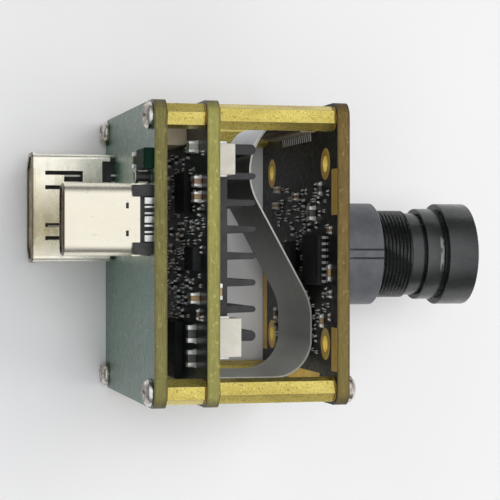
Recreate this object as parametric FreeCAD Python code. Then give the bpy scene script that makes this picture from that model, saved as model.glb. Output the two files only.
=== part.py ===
import FreeCAD, Part
import math
import os

# Camera module: three square boards on hexagonal spacers, wired by a board link and a flat flex,
# with a threaded lens in a holder in front and two upright sockets behind.
# Millimetres. +X is where the lens looks, +Z is up, and the boards stand on one edge at z = 0.

# Boards and their corner holes
board_side = 38.0
board_thick = 1.6
corner_radius = 2.0
hole_inset = 2.0
hole_radius = 0.9
rear_gap = 5.0
front_gap = 15.0

# Hexagonal spacers and screws
spacer_flats = 2.8
spacer_chamfer = 0.15
thread_radius = 0.78
thread_clearance = 0.02
rear_spacer_depth = 3.4
front_spacer_depth = 5.0
stud_reach = 3.0
screw_reach = 2.6
head_radius = 1.7
head_height = 1.0
head_bevel = 0.45
recess_width = 0.42
recess_length = 1.9
recess_depth = 0.6
spacer_turns = {
    "rear_upper_left": -16.7,
    "rear_upper_right": -5.3,
    "rear_lower_left": 8.0,
    "rear_lower_right": -12.0,
    "front_upper_left": 6.3,
    "front_upper_right": 15.7,
    "front_lower_left": -9.0,
    "front_lower_right": 11.0,
}

# Plated holes of the sensor board, for a larger lens mount
plate_hole_radius = 1.1
plate_pitch_y = 23.0
plate_pitch_z = 27.2

# Small reversible socket, near the upper edge of the interface board
usb_width = 8.94
usb_depth = 3.26
usb_wall = 0.3
usb_end_flat = 0.02
usb_lip_bevel = 0.18
usb_height = 11.0
usb_skirt = 2.35
usb_apron = 1.5
usb_apron_width = 5.6
usb_centre_y = 4.2
usb_inset = 1.5
usb_base_height = 2.45
usb_base_width = 8.5
usb_base_bay = 5.4
usb_base_proud = 0.35
usb_bay_play = 0.3
usb_plug_depth = 1.2
usb_plug_root = 0.4
usb_leg_width = 0.9
usb_tongue_width = 6.7
usb_tongue_thick = 0.7
usb_tongue_drop = 1.2
usb_pin_count = 12
usb_pin_pitch = 0.5
usb_pin_width = 0.24
usb_pin_thick = 0.08
usb_pin_start = 0.4
usb_foot_count = 7
usb_foot_pitch = 0.767
usb_foot_width = 0.26
usb_wide_foot = 0.8
usb_foot_length = 1.0
usb_dimple_y = 1.7
usb_dimple_from_foot = 2.9
usb_dimple_length = 0.35
usb_dimple_width = 0.7

# Wide display socket, near the lower edge of the interface board
hdmi_width = 14.8
hdmi_depth = 5.6
hdmi_draw_in = 1.5
hdmi_shoulder = 2.2
hdmi_wall = 0.35
hdmi_height = 11.5
hdmi_lip = 0.5
hdmi_lip_proud = 0.2
hdmi_lip_length = 10.7
hdmi_corner = 0.7
hdmi_inner_corner = 0.35
hdmi_lip_corner = 0.85
hdmi_skirt = 0.6
hdmi_centre_y = 6.35
hdmi_inset = 2.1
hdmi_tongue_width = 11.6
hdmi_tongue_thick = 1.1
hdmi_tongue_drop = 2.0
hdmi_tongue_rise = 0.3
hdmi_block_height = 4.5
hdmi_leg_width = 1.2
hdmi_leg_from_face = 2.0
hdmi_peg_width = 0.9
hdmi_peg_depth = 1.25
hdmi_peg_gap = 0.05
hdmi_pin_count = 19
hdmi_pin_pitch = 0.5
hdmi_pin_width = 0.24
hdmi_pin_thick = 0.1
hdmi_pin_start = 0.5
hdmi_foot_height = 0.5
hdmi_slot_width = 0.55
hdmi_slot_start = 1.9
hdmi_slot_length = 2.6
hdmi_slot_places = (-4.2, -2.4, 2.8, 4.8)
hdmi_tongue_slot_length = 2.6
hdmi_tongue_slot_width = 1.475
hdmi_notch_width = 2.9
hdmi_notch_height = 1.1
hdmi_notch_y = 5.0

# Link between the interface and processor boards
link_length = 15.5
link_width = 2.2
link_from_edge = 3.8
link_from_centre = -1.4
link_plug_height = 3.2
link_wall = 0.4
link_mate = 1.2
link_play = 0.03
link_well_room = 0.2

# Processor, heatsink and the pad between them
chip_side = 14.0
chip_height = 0.85
pad_side = 15.0
pad_thick = 0.25
sink_side = 25.0
sink_base = 1.3
sink_height = 5.0
sink_centre_y = 1.43
fin_count = 8
fin_root = 1.0
fin_tip = 0.78
end_fin_root = 1.35
fin_overlap = 0.1

# Flat flex and its two sockets
flex_width = 16.5
flex_thick = 0.25
flex_from_centre = -0.25
stiffener_thick = 0.15
lower_stiffener_length = 4.2
upper_stiffener_y = 13.9
flex_end_room = 0.2
socket_end = 1.05
socket_width = 2.6
socket_slot = 0.06
socket_wall = 0.3
socket_floor = 0.65
lower_socket_height = 2.1
lower_socket_from_edge = 2.9
upper_socket_height = 2.05
upper_socket_from_edge = 1.85
latch_height = 1.3
latch_gap = 0.35
latch_leg_gap = 0.1
contact_pitch = 0.5
contact_count = 30
contact_width = 0.22
contact_length = 1.0
contact_thick = 0.15
flex_bottom_bend = 5.0
flex_front_bend = 8.0
flex_fin_bend = 8.0
flex_top_bend = 3.4
flex_top_reach = 2.06
flex_fin_gap = 0.35
flex_fin_turn = 64.0
flex_board_gap = 0.3
flex_front_y = -6.43
flex_fin_y = 11.23

# White wire headers beside the heatsink
header_gap = 0.45
upper_header_y = 11.85
upper_header_width = 3.9
upper_header_depth = 2.9
upper_header_height = 2.65
upper_header_pins = 2
lower_header_y = -10.4
lower_header_width = 4.8
lower_header_depth = 4.1
lower_header_height = 3.15
lower_header_pins = 3
header_wall = 0.55
header_floor = 0.7
header_key_depth = 0.8
header_key_side = 1.2
header_pin_drop = 0.4
header_pin = 0.3
header_pin_pitch = 1.0
header_tab_thick = 0.25
header_tab_reach = 1.6
header_tab_width = 1.4
header_tab_inset = 0.2

# Image sensor, filter, holder and lens
sensor_side = 8.0
sensor_height = 1.2
sensor_rim = 0.5
sensor_well = 0.5
cover_thick = 0.4
holder_radius = 6.9
holder_length = 8.6
holder_chamfer = 0.15
holder_root = 0.5
holder_cavity_radius = 6.2
filter_clearance = 0.05
filter_thick = 0.6
filter_seat = 2.5
ledge_thick = 0.8
ledge_radius = 4.4
boss_width = 3.1
boss_height = 2.95
boss_reach = 11.2
boss_chamfer = 0.9
rib_width = 0.95
rib_proud = 0.25
rib_groove = 0.16
rib_groove_depth = 0.25
lens_thread_radius = 5.95
lens_thread_clearance = 0.05
barrel_start = 4.4
barrel_lead_in = 0.4
thread_end = 12.85
neck_start = 13.1
neck_radius = 5.6
relief_start = 14.62
relief_radius = 5.35
ring_start = 14.94
ring_end = 17.58
ring_edge = 0.3
ring_radius = 6.22
undercut_radius = 5.95
head_start = 17.84
head_end = 22.0
lens_head_radius = 6.9
head_edge = 0.12
barrel_bore = 4.6
seat_bore = 3.7
seat_start = 9.6
seat_end = 10.4
front_bore = 5.9
front_bore_start = 18.3
front_cone_depth = 0.6
front_cone_radius = 6.3
glass_clearance = 0.03
rear_glass_thick = 2.6
rear_glass_sag = 0.7
rear_glass_inset = 0.5
middle_glass_thick = 3.0
middle_glass_sag = 0.6
front_glass_edge = 1.6
front_glass_sag = 1.25
front_ring_thick = 0.8
front_ring_bore = 5.05
front_ring_flare = 0.5
spacer_ring_bore = 3.9

# Chips and small parts: face of a board, then centre (y, z) from the board's centre, size (y, z) and height.
# Parts in the outer zone keep their distance to the board's edge.
set_out_half_side = 19.0
outer_zone = 9.5
small_parts = {
    "interface_outer_parts": ("interface_rear", [
        (12.0, 6.7, 2.1, 0.9, 0.6),
    ]),
    "interface_inner_parts": ("interface_front", [
        (4.0, 11.5, 2.0, 1.25, 0.9),
        (0.5, 11.5, 2.0, 1.25, 0.9),
        (-3.0, 10.8, 1.6, 0.8, 0.6),
        (7.0, -10.6, 1.6, 0.8, 0.6),
        (2.6, -10.6, 1.6, 0.8, 0.6),
        (-12.0, -11.5, 2.0, 1.25, 0.9),
    ]),
    "processor_rear_capacitors": ("processor_rear", [
        (13.45, 13.0, 1.4, 2.0, 1.3),
        (9.05, 14.8, 1.3, 2.0, 1.0),
        (7.1, 14.8, 1.3, 2.0, 1.0),
        (-5.55, 13.6, 1.3, 2.2, 1.2),
        (-10.1, 12.0, 2.2, 1.3, 1.15),
        (-13.2, 12.0, 2.1, 1.3, 1.15),
        (3.6, 5.0, 1.0, 0.5, 0.4),
        (3.6, 2.5, 1.0, 0.5, 0.4),
        (-7.6, 14.4, 1.3, 0.6, 0.45),
        (-2.4, 2.4, 1.0, 0.5, 0.4),
        (-4.2, 4.2, 0.5, 1.0, 0.4),
        (-6.0, 6.6, 1.0, 0.5, 0.4),
        (9.6, -5.0, 1.6, 0.8, 0.7),
        (6.4, -6.8, 1.6, 0.8, 0.7),
    ]),
    "processor_front_parts": ("processor_front", [
        (3.6, 15.9, 2.8, 0.9, 0.5),
        (-4.7, 16.0, 2.0, 1.25, 0.85),
        (6.6, 16.6, 0.8, 0.8, 0.45),
        (-14.2, -12.8, 2.0, 1.25, 0.85),
        (16.0, -4.5, 1.6, 0.8, 0.5),
        (16.0, 0.5, 1.6, 0.8, 0.5),
    ]),
    "sensor_rear_parts": ("sensor_rear", [
        (5.3, 8.6, 1.8, 1.5, 0.9),
        (9.0, -9.4, 0.85, 1.6, 0.75),
        (6.8, -10.1, 0.85, 1.6, 0.75),
        (7.7, 0.4, 0.9, 1.6, 0.75),
        (-2.4, 15.9, 2.0, 0.9, 0.45),
        (3.0, 16.1, 0.8, 1.3, 0.45),
        (-5.1, 16.1, 0.8, 1.3, 0.45),
        (8.4, 11.8, 1.6, 0.8, 0.45),
        (-8.6, 12.6, 1.6, 0.8, 0.5),
        (-8.4, -10.6, 1.6, 0.8, 0.5),
    ]),
    "sensor_front_parts": ("sensor_front", [
        (9.8, 0.0, 1.6, 0.8, 0.6),
        (9.8, 3.2, 1.6, 0.8, 0.6),
        (-9.8, -1.5, 1.6, 0.8, 0.6),
        (-9.8, 1.5, 1.6, 0.8, 0.6),
        (13.0, -7.0, 0.8, 1.6, 0.6),
        (-13.2, 7.4, 2.0, 1.25, 0.9),
    ]),
}
chips = {
    "interface_chip": ("interface_rear", 11.7, 15.9, 2.55, 5.4, 1.25),
    "interface_bridge_chip": ("interface_front", -5.5, -2.0, 7.0, 7.0, 0.9),
    "power_chip": ("processor_rear", -0.6, 12.6, 3.0, 5.4, 1.1),
    "memory_chip": ("processor_rear", -12.6, -1.8, 7.6, 11.4, 1.1),
    "flash_chip": ("processor_rear", 8.0, 5.5, 5.0, 6.0, 0.9),
    "sensor_driver_chip": ("sensor_rear", -0.7, 10.1, 6.5, 7.4, 1.1),
    "sensor_logic_chip": ("sensor_rear", -0.3, -2.2, 4.0, 4.0, 0.75),
}
lead_count = 8
lead_pitch = 0.8
lead_width = 0.32
lead_reach = 1.0
lead_thick = 0.2
chip_bevel = 0.12

# Places that follow from the sizes above
socket_length = flex_width + 2 * socket_end
lower_socket_y = lower_socket_from_edge - board_side / 2
upper_socket_y = board_side / 2 - upper_socket_from_edge
flex_centre_z = board_side / 2 + flex_from_centre
link_centre_y = board_side / 2 - link_from_edge
link_centre_z = board_side / 2 + link_from_centre
lens_reach = head_end
stack_length = 3 * board_thick + rear_gap + front_gap
overall_length = hdmi_height + stack_length + lens_reach
axis_z = board_side / 2
x_interface_rear = hdmi_height - overall_length / 2
x_interface_front = x_interface_rear + board_thick
x_processor_rear = x_interface_front + rear_gap
x_processor_front = x_processor_rear + board_thick
x_sensor_rear = x_processor_front + front_gap
x_sensor_front = x_sensor_rear + board_thick
hole_side = board_side / 2 - hole_inset
hole_places = {
    "upper_left": (hole_side, axis_z + hole_side),
    "upper_right": (-hole_side, axis_z + hole_side),
    "lower_left": (hole_side, axis_z - hole_side),
    "lower_right": (-hole_side, axis_z - hole_side),
}
open_corner = "upper_left"
faces = {
    "interface_rear": (x_interface_rear, -1),
    "interface_front": (x_interface_front, 1),
    "processor_rear": (x_processor_rear, -1),
    "processor_front": (x_processor_front, 1),
    "sensor_rear": (x_sensor_rear, -1),
    "sensor_front": (x_sensor_front, 1),
}
along_x = FreeCAD.Vector(1, 0, 0)


def spot(x, y, z):
    return FreeCAD.Vector(x, y, z)


def block(x_a, x_b, y_a, y_b, z_a, z_b):
    """A box between two opposite corners, given in any order."""
    pairs = (sorted((x_a, x_b)), sorted((y_a, y_b)), sorted((z_a, z_b)))
    size = [high - low for low, high in pairs]
    return Part.makeBox(size[0], size[1], size[2], spot(pairs[0][0], pairs[1][0], pairs[2][0]))


def bar(x_a, x_b, y, z, size_y, size_z):
    """A box from x_a to x_b, centred on y and z."""
    return block(x_a, x_b, y - size_y / 2, y + size_y / 2, z - size_z / 2, z + size_z / 2)


def rod(x_low, x_high, radius, y=0.0, z=axis_z):
    return Part.makeCylinder(radius, x_high - x_low, spot(x_low, y, z), along_x)


def turned(outline):
    """A body of revolution about the lens axis, from its (x, radius) outline."""
    points = [spot(x, 0, axis_z + radius) for x, radius in outline]
    face = Part.Face(Part.makePolygon(points + points[:1]))
    return face.revolve(spot(0, 0, axis_z), along_x, 360)


def slab(x_low, x_high, wire):
    """A flat outline in the YZ plane, made into a solid from x_low to x_high."""
    face = Part.Face(wire)
    face.translate(spot(x_low, 0, 0))
    return face.extrude(spot(x_high - x_low, 0, 0))


def rounded_box_wire(centre_y, centre_z, width, depth, radius):
    """A rectangle in the YZ plane with round corners."""
    plain = bar(0, 1, 0, 0, width, depth)
    uprights = [e for e in plain.Edges if abs(e.tangentAt(e.FirstParameter).x) > 0.99]
    soft = plain.makeFillet(radius, uprights)
    side = [f for f in soft.Faces if f.CenterOfMass.x < 1e-6][0]
    wire = side.OuterWire
    wire.translate(spot(0, centre_y, centre_z))
    return wire


def set_out(offset):
    """The offset from the board's centre, moved with the edge if it lies in the outer zone."""
    if abs(offset) < outer_zone:
        return offset
    return math.copysign(abs(offset) + board_side / 2 - set_out_half_side, offset)


def placed(name, y, z, size_y, size_z, height):
    return on_face(name, set_out(y), axis_z + set_out(z), size_y, size_z, height)


def on_face(name, y, z, size_y, size_z, height):
    """A plain block that stands on one face of a board."""
    x, way = faces[name]
    return bar(x, x + way * height, y, z, size_y, size_z)


def board(x_low):
    outline = rounded_box_wire(0, axis_z, board_side, board_side, corner_radius)
    body = slab(x_low, x_low + board_thick, outline)
    for y, z in hole_places.values():
        body = body.cut(rod(x_low, x_low + board_thick, hole_radius, y, z))
    return body


def sensor_board():
    body = board(x_sensor_rear)
    for side_y in (-1, 1):
        for side_z in (-1, 1):
            y = side_y * plate_pitch_y / 2
            z = axis_z + side_z * plate_pitch_z / 2
            body = body.cut(rod(x_sensor_rear, x_sensor_front, plate_hole_radius, y, z))
    return body


def hexagon(x_low, x_high, place, turn):
    """A hexagonal bar along X with its end edges broken."""
    corner = spacer_flats / math.sqrt(3)
    points = []
    for k in range(7):
        angle = math.radians(60 * k - turn)
        points.append(spot(x_low, place[0] + corner * math.cos(angle), place[1] + corner * math.sin(angle)))
    bar = Part.Face(Part.makePolygon(points)).extrude(spot(x_high - x_low, 0, 0))
    ends = [e for e in bar.Edges if abs(e.tangentAt(e.FirstParameter).x) < 0.01]
    return bar.makeChamfer(spacer_chamfer, ends)


def rear_spacer(corner):
    """A short spacer with a tapped hole behind and a stud that passes the processor board."""
    place = hole_places[corner]
    body = hexagon(x_interface_front, x_processor_rear, place, spacer_turns["rear_" + corner])
    bore_end = x_interface_front + rear_spacer_depth
    bore = rod(x_interface_front, bore_end, thread_radius + thread_clearance, *place)
    stud = rod(x_processor_rear, x_processor_front + stud_reach, thread_radius, *place)
    return body.cut(bore).fuse(stud).removeSplitter()


def front_spacer(corner):
    """A long spacer, tapped at both ends."""
    place = hole_places[corner]
    body = hexagon(x_processor_front, x_sensor_rear, place, spacer_turns["front_" + corner])
    radius = thread_radius + thread_clearance
    rear = rod(x_processor_front, x_processor_front + front_spacer_depth, radius, *place)
    front = rod(x_sensor_rear - front_spacer_depth, x_sensor_rear, radius, *place)
    return body.cut(rear).cut(front)


def screw(seat_x, way, place):
    """A pan head screw whose head sits at seat_x and whose shank points the other way."""
    head = rod(0, head_height, head_radius, 0, 0)
    rim = [e for e in head.Edges if len(e.Vertexes) == 1 and e.CenterOfMass.x > head_height / 2]
    head = head.makeChamfer(head_bevel, rim)
    floor = head_height - recess_depth
    head = head.cut(bar(floor, head_height, 0, 0, recess_length, recess_width))
    head = head.cut(bar(floor, head_height, 0, 0, recess_width, recess_length))
    shank = rod(-board_thick - screw_reach, 0, thread_radius, 0, 0)
    body = head.fuse(shank).removeSplitter()
    if way < 0:
        body.rotate(spot(0, 0, 0), FreeCAD.Vector(0, 0, 1), 180)
    body.translate(spot(seat_x, *place))
    return body


def screws(seat_x, way, corners):
    return Part.makeCompound([screw(seat_x, way, hole_places[corner]) for corner in corners])


def usb_outline(inset):
    """The small socket's round-ended outline, drawn in by the inset."""
    centre_z = board_side - usb_inset - usb_depth / 2
    radius = (usb_depth - usb_end_flat) / 2 - inset
    return rounded_box_wire(usb_centre_y, centre_z, usb_width - 2 * inset, usb_depth - 2 * inset, radius)


def usb_legs(centre_z, foot):
    """The two solder legs at the ends of the shell, which also shape the slots in the base."""
    legs = []
    for side in (-1, 1):
        y = usb_centre_y + side * (usb_width - usb_wall) / 2
        legs.append(bar(foot, x_interface_rear, y, centre_z, usb_wall, usb_leg_width))
    return legs


def usb_shell():
    top = board_side - usb_inset
    centre_z = top - usb_depth / 2
    mouth = x_interface_rear - usb_height
    foot = x_interface_rear - usb_skirt
    apron = x_interface_rear - usb_apron
    body = slab(mouth, foot, usb_outline(0))
    lip_edges = [e for e in body.Edges if e.BoundBox.XMax < mouth + 1e-6]
    body = body.makeChamfer(usb_lip_bevel, lip_edges)
    for side in (-1, 1):
        face_z = centre_z + side * (usb_depth - usb_wall) / 2
        body = body.fuse(bar(foot, apron, usb_centre_y, face_z, usb_apron_width, usb_wall))
    body = body.cut(slab(mouth, foot, usb_outline(usb_wall)))
    dimple_x = x_interface_rear - usb_dimple_from_foot
    for side in (-1, 1):
        y = usb_centre_y + side * usb_dimple_y
        window = bar(dimple_x - usb_dimple_length, dimple_x, y, top, usb_dimple_width, 4 * usb_wall)
        body = body.cut(window)
    for leg in usb_legs(centre_z, foot):
        body = body.fuse(leg)
    return body.removeSplitter()


def usb_base():
    """The black insulator: a block on the board and the tongue that carries the contacts."""
    centre_z = board_side - usb_inset - usb_depth / 2
    mouth = x_interface_rear - usb_height
    foot = x_interface_rear - usb_skirt
    front = x_interface_rear - usb_base_height
    depth = usb_depth + 2 * usb_base_proud
    body = bar(front, x_interface_rear, usb_centre_y, centre_z, usb_base_width, depth)
    body = body.cut(slab(front, foot, usb_outline(0)))
    body = body.fuse(slab(foot - usb_plug_depth, front + usb_plug_root, usb_outline(usb_wall)))
    bay_width = usb_base_bay + usb_bay_play
    for side in (-1, 1):
        face_z = centre_z + side * depth / 2
        bay = bar(front, x_interface_rear, usb_centre_y, face_z, bay_width, 2 * (usb_wall + usb_base_proud))
        body = body.cut(bay)
    for leg in usb_legs(centre_z, foot):
        body = body.cut(leg)
    tongue = bar(mouth + usb_tongue_drop, foot, usb_centre_y, centre_z, usb_tongue_width, usb_tongue_thick)
    return body.fuse(tongue).removeSplitter()


def usb_contacts():
    """Contact strips on both faces of the tongue, and the solder feet in the bay of the base."""
    centre_z = board_side - usb_inset - usb_depth / 2
    strip_start = x_interface_rear - usb_height + usb_tongue_drop + usb_pin_start
    strip_end = x_interface_rear - usb_skirt - usb_plug_depth
    pieces = []
    first = usb_centre_y - usb_pin_pitch * (usb_pin_count - 1) / 2
    middle = (usb_foot_count - 1) // 2
    for side in (-1, 1):
        strip_z = centre_z + side * (usb_tongue_thick + usb_pin_thick) / 2
        for k in range(usb_pin_count):
            y = first + k * usb_pin_pitch
            pieces.append(bar(strip_start, strip_end, y, strip_z, usb_pin_width, usb_pin_thick))
        inner = centre_z + side * (usb_depth / 2 - usb_wall)
        outer = inner + side * (usb_wall + usb_base_proud)
        for k in range(-middle, middle + 1):
            y = usb_centre_y + k * usb_foot_pitch
            width = usb_wide_foot if k % middle == 0 else usb_foot_width
            foot_x = x_interface_rear - usb_foot_length
            pieces.append(block(foot_x, x_interface_rear, y - width / 2, y + width / 2, inner, outer))
    return Part.makeCompound(pieces)


def hdmi_body(x_low, x_high, inset, soften):
    """The wide socket's outline, flat above and drawn in below, as a solid bar."""
    top = hdmi_inset + hdmi_depth - inset
    bottom = hdmi_inset + inset
    half = hdmi_width / 2 - inset
    draw = half - hdmi_draw_in
    step = bottom + hdmi_shoulder
    points = [(-half, top), (half, top), (half, step), (draw, bottom), (-draw, bottom), (-half, step)]
    corners = [spot(0, hdmi_centre_y + y, z) for y, z in points]
    body = slab(x_low, x_high, Part.makePolygon(corners + corners[:1]))
    edges = [e for e in body.Edges if abs(e.tangentAt(e.FirstParameter).x) > 0.99]
    return body.makeFillet(soften, edges)


def hdmi_shell():
    mouth = x_interface_rear - hdmi_height
    foot = x_interface_rear - hdmi_skirt
    lip_end = mouth + hdmi_lip
    top = hdmi_inset + hdmi_depth
    body = hdmi_body(mouth, foot, 0, hdmi_corner)
    body = body.cut(hdmi_body(mouth, foot, hdmi_wall, hdmi_inner_corner))
    lip = hdmi_body(mouth, lip_end, -hdmi_lip_proud, hdmi_lip_corner)
    lip = lip.cut(hdmi_body(mouth, lip_end, 0, hdmi_corner))
    for side in (-1, 1):
        near = hdmi_centre_y + side * hdmi_lip_length / 2
        far = hdmi_centre_y + side * (hdmi_width / 2 + hdmi_lip_corner)
        lip = lip.cut(block(mouth, lip_end, near, far, top - hdmi_corner, top + hdmi_lip_corner))
    body = body.fuse(lip)
    slot_x = mouth + hdmi_slot_start
    slot_end = slot_x + hdmi_slot_length
    for centre in hdmi_slot_places:
        y = hdmi_centre_y + centre
        body = body.cut(bar(slot_x, slot_end, y, top, hdmi_slot_width, 4 * hdmi_wall))
    side_y = hdmi_centre_y + hdmi_slot_places[-1] + hdmi_slot_width / 2
    wide_end = slot_end + hdmi_tongue_slot_length
    wide_y = side_y - hdmi_tongue_slot_width / 2
    body = body.cut(bar(slot_end, wide_end, wide_y, top, hdmi_tongue_slot_width, 4 * hdmi_wall))
    notch_y = hdmi_centre_y + hdmi_notch_y
    body = body.cut(bar(foot - hdmi_notch_height, foot, notch_y, top, hdmi_notch_width, 4 * hdmi_wall))
    for side in (-1, 1):
        y = hdmi_centre_y + side * (hdmi_width - hdmi_wall) / 2
        body = body.fuse(bar(foot, x_interface_rear, y, top - hdmi_leg_from_face, hdmi_wall, hdmi_leg_width))
    return body.removeSplitter()


def hdmi_insulator():
    """The black block in the foot of the shell, with the tongue and the pegs that stand on the board."""
    mouth = x_interface_rear - hdmi_height
    foot = x_interface_rear - hdmi_skirt
    block_x = x_interface_rear - hdmi_block_height
    top = hdmi_inset + hdmi_depth
    mid_z = hdmi_inset + hdmi_depth / 2 + hdmi_tongue_rise
    body = hdmi_body(block_x, x_interface_rear, hdmi_wall, hdmi_inner_corner)
    tongue_x = mouth + hdmi_tongue_drop
    body = body.fuse(bar(tongue_x, block_x, hdmi_centre_y, mid_z, hdmi_tongue_width, hdmi_tongue_thick))
    peg_top = top - hdmi_peg_gap
    for side in (-1, 1):
        outer = hdmi_centre_y + side * (hdmi_width / 2 - hdmi_wall - hdmi_peg_gap)
        inner = outer - side * hdmi_peg_width
        body = body.fuse(block(foot, x_interface_rear, outer, inner, peg_top - hdmi_peg_depth, peg_top))
    return body.removeSplitter()


def hdmi_contacts():
    """Contact strips on both faces of the tongue, and solder feet in front of the shell."""
    strip_start = x_interface_rear - hdmi_height + hdmi_tongue_drop + hdmi_pin_start
    strip_end = x_interface_rear - hdmi_block_height
    mid_z = hdmi_inset + hdmi_depth / 2 + hdmi_tongue_rise
    top = hdmi_inset + hdmi_depth
    first = hdmi_centre_y - hdmi_pin_pitch * (hdmi_pin_count - 1) / 2
    pieces = []
    for k in range(hdmi_pin_count):
        y = first + k * hdmi_pin_pitch
        side = 1 if k % 2 == 0 else -1
        strip_z = mid_z + side * (hdmi_tongue_thick + hdmi_pin_thick) / 2
        pieces.append(bar(strip_start, strip_end, y, strip_z, hdmi_pin_width, hdmi_pin_thick))
        if side > 0:
            foot_x = x_interface_rear - hdmi_foot_height
            pieces.append(bar(foot_x, x_interface_rear, y, top, hdmi_pin_width, 2 * hdmi_wall))
    return Part.makeCompound(pieces)


def link_plug():
    """The half of the board link on the processor board, an open trough."""
    x_low = x_processor_rear - link_plug_height
    body = bar(x_low, x_processor_rear, link_centre_y, link_centre_z, link_width, link_length)
    well_end = x_low + link_mate + link_well_room
    width = link_width - 2 * link_wall
    length = link_length - 2 * link_wall
    return body.cut(bar(x_low, well_end, link_centre_y, link_centre_z, width, length))


def link_socket():
    """The half on the interface board, with the blade that enters the trough."""
    x_high = x_processor_rear - link_plug_height
    body = bar(x_interface_front, x_high, link_centre_y, link_centre_z, link_width, link_length)
    width = link_width - 2 * (link_wall + link_play)
    length = link_length - 2 * (link_wall + link_play)
    blade = bar(x_high, x_high + link_mate, link_centre_y, link_centre_z, width, length)
    return body.fuse(blade).removeSplitter()


def processor_chip():
    return on_face("processor_front", sink_centre_y, axis_z, chip_side, chip_side, chip_height)


def thermal_pad():
    x_low = x_processor_front + chip_height
    return bar(x_low, x_low + pad_thick, sink_centre_y, axis_z, pad_side, pad_side)


def heatsink():
    """A base plate and tapered fins with round tips, extruded along Z."""
    x_low = x_processor_front + chip_height + pad_thick
    x_base = x_low + sink_base
    half = sink_side / 2
    body = bar(x_low, x_base, sink_centre_y, axis_z, sink_side, sink_side)
    pitch = (sink_side - end_fin_root) / (fin_count - 1)
    for k in range(fin_count):
        centre = sink_centre_y - half + end_fin_root / 2 + k * pitch
        is_end = k in (0, fin_count - 1)
        root = end_fin_root if is_end else fin_root
        tip = (end_fin_root if is_end else fin_tip) / 2
        x_tip = x_low + sink_height - tip
        corners = [
            spot(x_base - fin_overlap, centre - root / 2, axis_z - half),
            spot(x_tip, centre - tip, axis_z - half),
            spot(x_tip, centre + tip, axis_z - half),
            spot(x_base - fin_overlap, centre + root / 2, axis_z - half),
        ]
        crown = spot(x_tip + tip, centre, axis_z - half)
        edges = [
            Part.makeLine(corners[0], corners[1]),
            Part.Arc(corners[1], crown, corners[2]).toShape(),
            Part.makeLine(corners[2], corners[3]),
            Part.makeLine(corners[3], corners[0]),
        ]
        fin = Part.Face(Part.Wire(edges)).extrude(spot(0, 0, sink_side))
        body = body.fuse(fin)
    return body.removeSplitter()


def band(points, radii, near_side, far_side, z_low, z_high):
    """A sheet along straight runs joined by arcs, with its two faces at the given offsets to the left."""
    heads = []
    for a, b in zip(points, points[1:]):
        length = math.hypot(b[0] - a[0], b[1] - a[1])
        heads.append(((b[0] - a[0]) / length, (b[1] - a[1]) / length))

    def rail(offset):
        run = [spot(points[0][0] - heads[0][1] * offset, points[0][1] + heads[0][0] * offset, z_low)]
        edges = []
        for k in range(1, len(points) - 1):
            (ax, ay), (bx, by) = heads[k - 1], heads[k]
            turn = math.atan2(ax * by - ay * bx, ax * bx + ay * by)
            reach = radii[k - 1] * math.tan(abs(turn) / 2)
            way = 1 if turn > 0 else -1
            start = (points[k][0] - ax * reach, points[k][1] - ay * reach)
            centre = (start[0] - ay * way * radii[k - 1], start[1] + ax * way * radii[k - 1])
            radius = radii[k - 1] - way * offset
            arc = []
            for part in (0.0, 0.5, 1.0):
                angle = math.atan2(start[1] - centre[1], start[0] - centre[0]) + turn * part
                arc_x = centre[0] + radius * math.cos(angle)
                arc_y = centre[1] + radius * math.sin(angle)
                arc.append(spot(arc_x, arc_y, z_low))
            edges.append(Part.makeLine(run[-1], arc[0]))
            edges.append(Part.Arc(*arc).toShape())
            run.append(arc[2])
        end = spot(points[-1][0] - heads[-1][1] * offset, points[-1][1] + heads[-1][0] * offset, z_low)
        edges.append(Part.makeLine(run[-1], end))
        return edges, run[0], end

    left, left_start, left_end = rail(near_side)
    right, right_start, right_end = rail(far_side)
    ends = [Part.makeLine(left_end, right_end), Part.makeLine(right_start, left_start)]
    wire = Part.Wire(Part.__sortEdges__(left + right + ends))
    return Part.Face(wire).extrude(spot(0, 0, z_high - z_low))


def flex_route():
    """From the lower socket, out along the lower edge, up past the fins and into the upper socket."""
    fin_x = x_processor_front + chip_height + pad_thick + sink_height
    front_x = x_sensor_rear - flex_board_gap
    fin_rise = flex_fin_bend * (1 / math.cos(math.radians(flex_fin_turn / 2)) - 1)
    over_fins = fin_x + flex_fin_gap - fin_rise
    start_x = x_processor_front + socket_floor + flex_end_room
    mouth_x = x_sensor_rear - upper_socket_height - latch_height - latch_gap
    end_x = x_sensor_rear - socket_floor - flex_end_room
    points = [
        (start_x, lower_socket_y),
        (front_x, lower_socket_y),
        (front_x, flex_front_y),
        (over_fins, flex_fin_y),
        (mouth_x - flex_top_reach, upper_socket_y),
        (end_x, upper_socket_y),
    ]
    radii = [flex_bottom_bend, flex_front_bend, flex_fin_bend, flex_top_bend]
    return points, radii


def flex_cable():
    points, radii = flex_route()
    half = flex_thick / 2
    z_low = flex_centre_z - flex_width / 2
    return band(points, radii, half, -half, z_low, z_low + flex_width)


def flex_stiffeners():
    """The strips bonded along the flex at its two ends, one on each face."""
    points, radii = flex_route()
    inner = flex_thick / 2
    outer = inner + stiffener_thick
    z_low = flex_centre_z - flex_width / 2
    z_high = z_low + flex_width
    start_x = points[0][0]
    end_x = points[-1][0]
    lower_end_x = start_x + lower_stiffener_length
    lower = block(start_x, lower_end_x, lower_socket_y - outer, lower_socket_y - inner, z_low, z_high)
    sheet = band(points, radii, outer, inner, z_low, z_high)
    upper = sheet.common(block(start_x, end_x, upper_stiffener_y, board_side / 2, z_low, z_high))
    return Part.makeCompound([lower, upper])


def slot_size():
    """Width and length of the slot that the stiffened end of the flex stands in."""
    return flex_thick + 2 * (stiffener_thick + socket_slot), flex_width + 2 * socket_slot


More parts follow.
